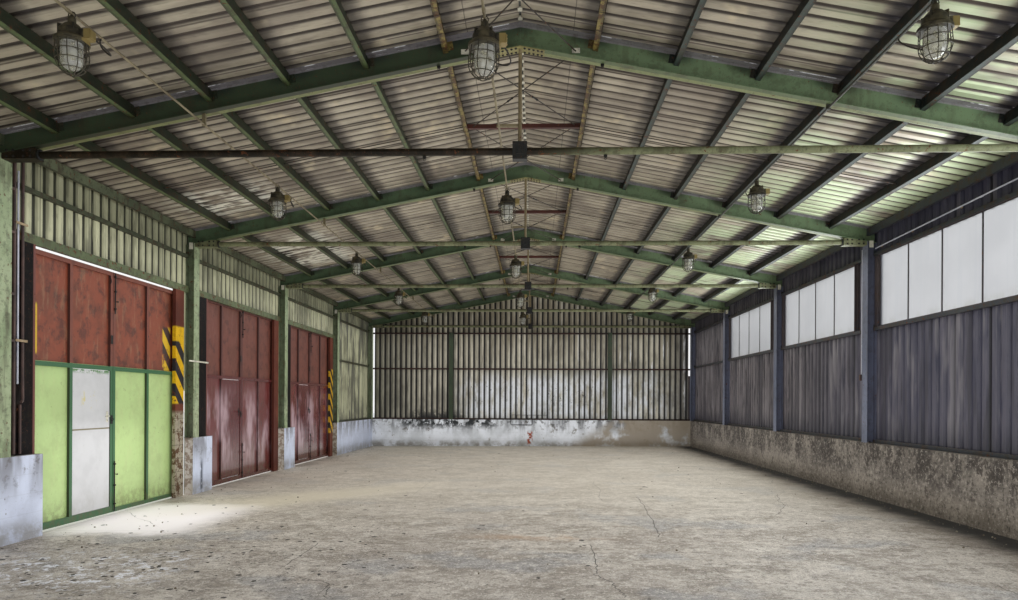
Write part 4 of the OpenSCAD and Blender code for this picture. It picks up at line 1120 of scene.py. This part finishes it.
piece("clamp_faces", clampFaces(), "dark", "bare_rod")


def rafterPlates():
    # White gusset where a bracing rod meets the web
    side, y, face = spread(bothWays, frameY, bothWays).T
    return placed(block(0.09, 0.057, 0.008, 0.002),
                  at(side * steel["rodEnd"], y + face * steel["web"], rodHeight),
                  facing(at(0, face, 0)))


piece("rafter_gussets", rafterPlates(), "pale", "green_steel")


def lugs():
    # Small hooks under the rafters and on the ties
    ring = tube([(0.012 * math.cos(a), 0, 0.012 * math.sin(a)) for a in np.arange(0, 6.1, 0.7)],
                0.0035, 5, True)
    eye = merged(block(0.04, 0.012, 0.034), placed(ring, (0, 0, -0.012)))
    side, y = spread(bothWays, frameY).T
    low = placed(eye, at(side * 0.93, y, under(0.93) - 0.034))
    x, y = spread((-1.09, 0.97), frameY).T
    tie = placed(eye, at(x, y, steel["tieZ"] - 0.074))
    return merged(low, tie)


piece("frame_lugs", lugs(), "bolts", "bare_rod")


def purlinCleats():
    # Angle at each purlin end: one leg on the rafter web, the other on the purlin's back
    back, web, base = -steel["purlinHalf"], steel["web"], steel["purlinBase"]
    angle = boxes(((0.06, 0.006, 0.1, 0.0015), (back - 0.034, web + 0.003, base + 0.02)),
                  ((0.006, 0.07, 0.1, 0.0015), (back - 0.003, web + 0.038, base + 0.02)))
    heads = placed(boltHead(0.008), at(back - 0.04, web + 0.006, [base + 0.045, base + 0.095]), alongY)
    cleat = merged(angle, heads)
    side, s, y, face = spread(bothWays, purlinS, frameY, bothWays).T
    side, s, y, face = np.array([side, s, y, face])[:, np.abs(y + face) < hall["gableSheet"]]
    return placed(cleat, onSlope(side, s, y, 0 * s), slopeTurns(side, face))


piece("purlin_cleats", purlinCleats(), "purlins", "green_steel")


def purlinWraps():
    # Wire wound round the two purlins beside the ridge at uneven distances
    half, low = steel["purlinHalf"] + 0.004, steel["purlinBase"] - 0.004
    high = steel["purlinBase"] + steel["purlinDepth"] + 0.003
    loop = tube([(-half, 0, low), (half, 0.004, low), (half, 0.01, high), (-half, 0.006, high)],
                0.0035, 5, True)
    y = np.arange(-13.8, 13.9, 0.36)
    y = np.concatenate([y, y]) + rng.uniform(-0.1, 0.1, 2 * len(y))
    side = np.repeat(bothWays, len(y) // 2)
    clear = np.abs((y - 14.1) % hall["bay"] - hall["bay"] / 2) < hall["bay"] / 2 - 0.1
    y, side = y[clear], side[clear]
    return placed(loop, onSlope(side, 0 * y + steel["purlinFirst"], y, 0 * y), slopeTurns(side))


piece("purlin_wires", purlinWraps(), "bolts", "bare_rod")


def ridgeTeeth():
    # Pale blocks under the ridge cap, one to each rib, painted as the daylight seen through the rib gaps
    y = np.arange(-14.2, 14.3, 0.2)
    return placed(block(0.052, 0.075, 0.022, 0.004),
                  at(0, y + rng.normal(0, 0.006, len(y)), roofRidge + 0.006))


piece("ridge_light_spots", ridgeTeeth(), "pale", "flashing")


def rodNuts():
    # Turnbuckle on each bracing rod, nuts on the sag rods
    barrel = lathe([(0.008, -0.075), (0.014, -0.07), (0.014, -0.045), (0.011, -0.04), (0.011, 0.04),
                    (0.014, 0.045), (0.014, 0.07), (0.008, 0.075)], 6)
    y, end, way = spread(bayY, bothWays, bothWays).T
    start = at(way * 0.74, y + end * 0.03, 5.8229 + way * 0.008)
    stop = at(-way * steel["rodEnd"], y + end * 2.346, rodHeight + way * 0.008)
    buckles = placed(barrel, start + 0.42 * (stop - start), facing(stop - start))
    side, s, y = spread(bothWays, purlinS[:-1], bayY).T
    middle = steel["purlinBase"] + steel["purlinDepth"] / 2
    nuts = placed(lathe([(0.008, 0), (0.014, 0.001), (0.014, 0.011), (0.008, 0.012)], 6),
                  onSlope(side, s + steel["purlinStep"] - steel["purlinHalf"] - 0.012, y, 0 * s + middle),
                  slopeTurns(side) @ alongX[0])
    return merged(buckles, nuts)


piece("rod_turnbuckles", rodNuts(), "bolts", "bare_rod")


def railCleats():
    # Angle with a bolt at both ends of each wall rail
    cleat = merged(block(0.05, 0.006, 0.05, 0.0015), placed(boltHead(0.007), (0, 0.003, 0.025), alongY))
    side, y, face, z = spread(bothWays, frameY, bothWays, (3.122, 4.422)).T
    keep = (np.abs(y + face) < hall["gableSheet"]) & ~((side < 0) & (z < 4) & (y > -5) & (y < 9.5))
    side, y, face, z = np.array([side, y, face, z])[:, keep]
    return placed(cleat, at(side * 6.125, y + face * (steel["columnHalf"] + 0.003), z), flips(1, face))


piece("rail_cleats", railCleats(), "rails", "green_steel")

# cream plates on the front of the columns below the rafters, pale as painted daylight at the gaps there,
# and a strap on the second left column
side, y = spread(bothWays, frameY[1:-1]).T
piece("column_plates", boxes(((0.07, 0.01, 0.12, 0.002),
                              at(side * 6.06, y - steel["columnHalf"] - 0.006, 4.52)),
                             ((0.012, 0.74, 0.028, 0.002), (-5.992, 0.08, 2.475))),
      "pale", "green_steel")


def eavesFall(y):  # how far the light conduit by the windows has dropped at y
    return (y + 1.9) * -0.0195


def wallPipes():
    # Upright pipes beside the first left column, one with a bent foot
    runs = [tube([(-6.078, -4.46, z) for z in (1.12, 2.9, 4.7)], 0.021, 8),
            tube(curve([(-6.082, -4.31, 4.7), (-6.082, -4.31, 3.2), (-6.082, -4.31, 1.9),
                        (-6.082, -4.31, 1.8), (-6.04, -4.33, 1.76), (-6.03, -4.4, 1.75)], 16), 0.017, 8),
            tube([(-6.082, -4.345, z) for z in (1.12, 1.4, 1.72)], 0.016, 8)]
    ties = placed(block(0.03, 0.115, 0.03), [[-6.065, -4.535, z] for z in (2.47, 3.03, 3.77, 4.29)])
    box = placed(block(0.06, 0.05, 0.11, 0.006), (6.075, 0.3, 2.2))
    return merged(*runs, ties, box)


piece("wall_pipes", wallPipes(), "darkPipe", "brown_steel")


def whiteConduits():
    # Thin light conduits: one upright on each side, one along the windows of the first bay
    runs = [tube([(-6.085, -4.385, z) for z in (1.97, 3.3, 4.55)], 0.011, 8),
            tube([(6.125, -4.58, 4.585), (6.125, -3.5, 4.57), (6.125, -1.9, 4.534), (6.125, -0.12, 4.5)],
                 0.011, 8),
            tube([(6.086, 0.3, z) for z in (4.56, 3.6, 2.31)], 0.01, 8)]
    sleeve = lathe([(0.011, 0), (0.0145, 0.002), (0.0145, 0.045), (0.011, 0.047)], 8)
    joints = placed(sleeve, [(6.125, y, 4.534 + eavesFall(y)) for y in (-4.2, -3.1, -1.95, -0.8)], alongY)
    return merged(*runs, joints)


piece("light_conduits", whiteConduits(), "whitePipe", "lamp_metal")

# beige clamps over the pipes and conduits
piece("pipe_saddles", boxes(
    ((0.012, 0.2, 0.03, 0.002), [(-6.052, -4.365, z) for z in (2.48, 3.9)]),
    ((0.02, 0.03, 0.04, 0.002), [(6.145, y, 4.515 + eavesFall(y)) for y in (-4.4, -2.6, -1.3, -0.3)]),
    ((0.02, 0.05, 0.02, 0.002), [(6.092, 0.3, z) for z in (2.7, 3.5, 4.3)])), "brass", "lamp_metal")

# foam-backed angle that closes the sheet's ribs beside each window band, and one at the rear corner
piece("window_closers", boxes(((0.046, 0.022, 1.25), at(6.175, frameY[1:5] + 0.634, 3.116)),
                              ((0.062, 0.004, 1.66, 0.001), (5.972, 14.194, 1.12))),
      "windowBars", "window_steel")


def gableBracket():
    # Bent pipe frame on the rear plinth, with a thin bar above it
    ring = tube([(-0.72, 14.03, 0.93), (-0.7, 14.03, 0.91), (0.06, 14.03, 0.91), (0.08, 14.03, 0.93),
                 (0.08, 14.03, 1.11), (0.06, 14.03, 1.13), (-0.7, 14.03, 1.13), (-0.72, 14.03, 1.11)],
                 0.013, 8, True)
    rod = tube([(-0.68, 14.03, 1.285), (0, 14.03, 1.28), (0.64, 14.03, 1.285)], 0.009, 8)
    feet = placed(block(0.03, 0.03, 0.16), [[x, 14.03, 1.13] for x in (-0.5, -0.1, 0.3)])
    return merged(ring, rod, feet)


piece("gable_bracket", gableBracket(), "bolts", "bare_rod")


def roofScrews():
    # Zinc screw heads on the weather side, at every second rib over the purlins and along the wall rails
    head = merged(lathe([(0.012, 0), (0.012, 0.002), (0.007, 0.003)], 8),
                  lathe([(0.007, 0.002), (0.007, 0.008), (0.004, 0.009)], 6))
    side, s, y = spread(bothWays, purlinS, np.arange(-14.2, 14.3, 0.4)).T
    top = placed(head, onSlope(side, s, y, 0 * s + steel["sheetTop"]), slopeTurns(side))
    side, z, y = spread(bothWays, (1.17, 4.39), np.arange(-14.0, 14.1, 0.4)).T
    keep = (side > 0) | (z > 4) | (np.abs(y - 2.3) > 7.4)
    side, z, y = np.array([side, z, y])[:, keep]
    walls = placed(head, at(side * 6.199, y, z), facing(at(side, 0, 0)))
    end, z, x = spread(bothWays, (1.17, 3.02, 4.36), np.arange(-5.7, 5.8, 0.4)).T
    ends = placed(head, at(x, end * 14.239, z), facing(at(0, end, 0)))
    return merged(top, walls, ends)


piece("sheet_screws", roofScrews(), "screws", "flashing")


def stones(count, low, high):
    # Broken crumbs: a five-sided lathe body, each one squeezed, turned and sized on its own
    shape = lathe([(0.3, -0.25), (0.5, -0.1), (0.45, 0.2), (0.2, 0.4)], 5)
    size = rng.uniform(0, 1, count) ** 3 * (high - low) + low
    turn = rng.uniform(0, 2 * np.pi, count)
    squeeze = rng.uniform(0.5, 1.2, (count, 3))
    c, s = np.cos(turn), np.sin(turn)
    turns = np.stack([at(c, -s, 0), at(s, c, 0), at(0, 0, np.ones(count))], 1)
    return shape, turns * (squeeze * size[:, None])[:, None, :], size


def floorHeight(x):  # the slab falls evenly from the window side to the gate side
    return (hall["floorLeft"] + (hall["floorTop"] - hall["floorLeft"])
            * (x + hall["half"]) / (2 * hall["half"]))


def floorCrumbs():
    # Thick along the window wall, thinner by the gates, few in between
    count = 1100
    shape, turns, size = stones(count, 0.006, 0.034)
    share = rng.uniform(0, 1, count)
    x = np.where(share < 0.5, 5.95 - rng.exponential(0.25, count),
                 np.where(share < 0.75, rng.exponential(0.5, count) - 5.9, rng.uniform(-5.9, 5.9, count)))
    x = np.clip(x, -5.93, 5.93)
    y = rng.uniform(-13.9, 13.9, count)
    return placed(shape, at(x, y, floorHeight(x) + size * 0.2), turns)


piece("floor_crumbs", floorCrumbs(), "stone", "floor_concrete", sharp=20)


def floorFlakes():
    # Dead dark flakes and chips of bark, strewn more thickly before the first gate and at the walls
    count = 1000
    shape, turns, _ = stones(count, 0.015, 0.075)
    turns[:, 2, 2] *= 0.16
    near = rng.uniform(0, 1, count) < 0.45
    x = np.where(near, rng.normal(-3.6, 1.4, count), rng.uniform(-5.8, 5.8, count))
    x = np.clip(x, -5.9, 5.9)
    y = np.where(near, rng.normal(-5.4, 1.2, count), rng.uniform(-13.8, 13.8, count))
    return placed(shape, at(x, y, floorHeight(x) + 0.002), turns)


piece("floor_flakes", floorFlakes(), "cable", "floor_concrete", sharp=20)


def floorCracks():
    # Open cracks as flat dark ribbons: p(s) = path(s) + jitter, 12 points between two stations
    paths = ([(0.84, -4.44), (0.83, -5.57), (0.78, -5.88), (0.91, -6.17), (0.97, -6.67)],
             [(4.51, -3.97), (5.06, -4.26), (5.53, -4.72)], [(1.99, -0.28), (1.86, -2.65), (1.74, -3.95)],
             [(-2.12, -6.04), (-1.7, -6.27), (-1.6, -6.77)], [(-2.38, -4.42), (-2.36, -5.65)])
    r = np.random.default_rng(11)
    ribbons = []
    for path in paths:
        t = np.linspace(0, len(path) - 1, 12 * (len(path) - 1) + 1)
        spine = np.stack([np.interp(t, np.arange(len(path)), side) for side in np.array(path).T], -1)
        spine += r.normal(0, 0.012, spine.shape)
        points, faces = tube(np.column_stack([spine, floorHeight(spine[:, 0])]), 0.005, 5)
        points[:, 2] = floorHeight(points[:, 0]) + 0.12 * (points[:, 2] - floorHeight(points[:, 0]))
        ribbons.append((points, faces))
    return merged(*ribbons)


piece("floor_cracks", floorCracks(), "cable", "floor_concrete", sharp=80)


def ledgeCrumbs():
    # Mortar crumbs and dirt on the wall rails, the blocks and the plinth
    count = 700
    shape, turns, size = stones(count, 0.006, 0.022)
    place = rng.integers(0, 4, count)
    y = rng.uniform(-13.9, 13.9, count)
    y = np.where(np.abs((y + 14.1 + 2.35) % 4.7 - 2.35) < 0.12, y + 0.3, y)
    x = np.choose(place, [6.13, 6.13, -6.13, 6.03 + rng.uniform(0, 0.06, count)])
    z = np.choose(place, [3.118, 4.418, 4.418, hall["plinthTop"]])
    z = np.where((place == 0) & (np.abs(y) < 9.4), 3.118, z)
    return placed(shape, at(x, y, z + size * 0.2), turns)


piece("ledge_crumbs", ledgeCrumbs(), "stone", "plinth_concrete", sharp=20)
print("steelwork dressed")

# gates: fittings move with their leaves
gates = dict(inner=-6.168, outer=-6.221, low=0.09, tops=(3.702, 3.76, 3.76), half=hall["gateHalf"],
             wicketIn=-6.178)


def rightLeafFittings(mid, top):
    # Rod bolts up and down the meeting stile, each in three guides with a knob
    y, x = mid + 0.036, gates["inner"] + 0.012
    upper = tube([(x, y, z) for z in (top - 0.62, top - 0.3, top - 0.01)], 0.008, 8)
    lower = tube([(x, y, z) for z in (gates["low"] + 0.01, 0.5, 0.86)], 0.008, 8)
    guides = placed(block(0.026, 0.034, 0.026),
                    at(gates["inner"] + 0.013, y, [top - 0.56, top - 0.3, top - 0.08, 0.2, 0.48, 0.8]))
    knobs = placed(lathe([(0.006, 0), (0.006, 0.03), (0.012, 0.034), (0.012, 0.046), (0.006, 0.05)], 8),
                   [[x, y, z] for z in (top - 0.44, 0.66)], alongX)
    straps = placed(boltHead(0.009), strapPlaces(mid + gates["half"], -1), outLeft)
    return merged(upper, lower, guides, knobs, straps)


def strapPlaces(edge, way):
    h, reach = spread((0.45, 1.75, 3.15), (0.09, 0.21)).T
    return at(gates["outer"], edge + way * reach, hall["floorTop"] + h + 0.0703)


def leftLeafFittings(mid, top):
    # Hasp over the meeting joint, a hook on the top bar, bolts through the hinge straps
    x = gates["inner"]
    hasp = placed(block(0.006, 0.05, 0.13, 0.002), [(x + 0.003, mid - 0.034, z) for z in (1.42, 2.62)])
    staple = tube([(x, mid - 0.05, 1.47), (x + 0.03, mid - 0.05, 1.475), (x + 0.034, mid - 0.03, 1.485),
                   (x + 0.03, mid - 0.016, 1.495), (x, mid - 0.016, 1.5)], 0.004, 6)
    bend = [(x + 0.004, mid - 0.12, top - 0.08), (x + 0.05, mid - 0.12, top - 0.09),
            (x + 0.05, mid - 0.12, top - 0.2), (x + 0.012, mid - 0.11, top - 0.19)]
    hook = tube(curve(bend, 10), 0.007, 6)
    straps = placed(boltHead(0.009), strapPlaces(mid - gates["half"], 1), outLeft)
    return merged(hasp, staple, hook, straps)


def wicketFittings(mid):
    # Lever on a rosette on both faces, and a lock plate
    y, z = mid - 0.125, 1.54
    parts = [placed(block(0.004, 0.05, 0.16, 0.0015), (gates["wicketIn"] + 0.002, y, z - 0.09))]
    rosette = lathe([(0.02, 0), (0.02, 0.004), (0.01, 0.008), (0.008, 0.04)], 12)
    for x, way in ((gates["wicketIn"], 1), (gates["outer"] + 0.009, -1)):
        bend = [(x + way * 0.036, y, z), (x + way * 0.05, y - 0.01, z),
                (x + way * 0.05, y - 0.06, z + 0.002), (x + way * 0.046, y - 0.115, z - 0.004)]
        parts += [placed(rosette, (x, y, z), facing((way, 0, 0))), tube(curve(bend, 10), 0.008, 8)]
    return merged(*parts)


seam = block(0.006, 0.845, 0.014, 0.002)
for number, (mid, top) in enumerate(zip(hall["gateMids"], gates["tops"]), 1):
    gate = f"gate{number}_"
    handle = ("pale", "wicket_white") if number == 1 else ("bolts", "bare_rod")
    strip = ("wicketWhite", "wicket_white") if number == 1 else ("gateRed", "gate_red")
    piece(gate + "rod_bolts", rightLeafFittings(mid, top), "bolts", "bare_rod", gate + "right_leaf")
    piece(gate + "hasp", leftLeafFittings(mid, top), "bolts", "bare_rod", gate + "left_leaf")
    piece(gate + "handle", wicketFittings(mid), *handle, gate + "wicket")
    piece(gate + "seam", placed(seam, (gates["wicketIn"] + 0.003, mid - 0.4995, 1.355)), *strip,
          gate + "wicket")
print("gates dressed")

stage = bpy.data.meshes.new("yard")
edge = 90
corners = [(-edge, -edge, -0.002), (edge, -edge, -0.002), (edge, edge, -0.002), (-edge, edge, -0.002)]
stage.from_pydata(corners, [], [(0, 1, 2, 3)])
yard = inScene("yard", stage)
ground = Finish("paleGround")
clouds = ground.noise(0.5, rough=0.55, detail=3)
stage.materials.append(ground.done(ground.mix(clouds, (0.8, 0.8, 0.79, 1), (0.84, 0.84, 0.83, 1)), 0.9))
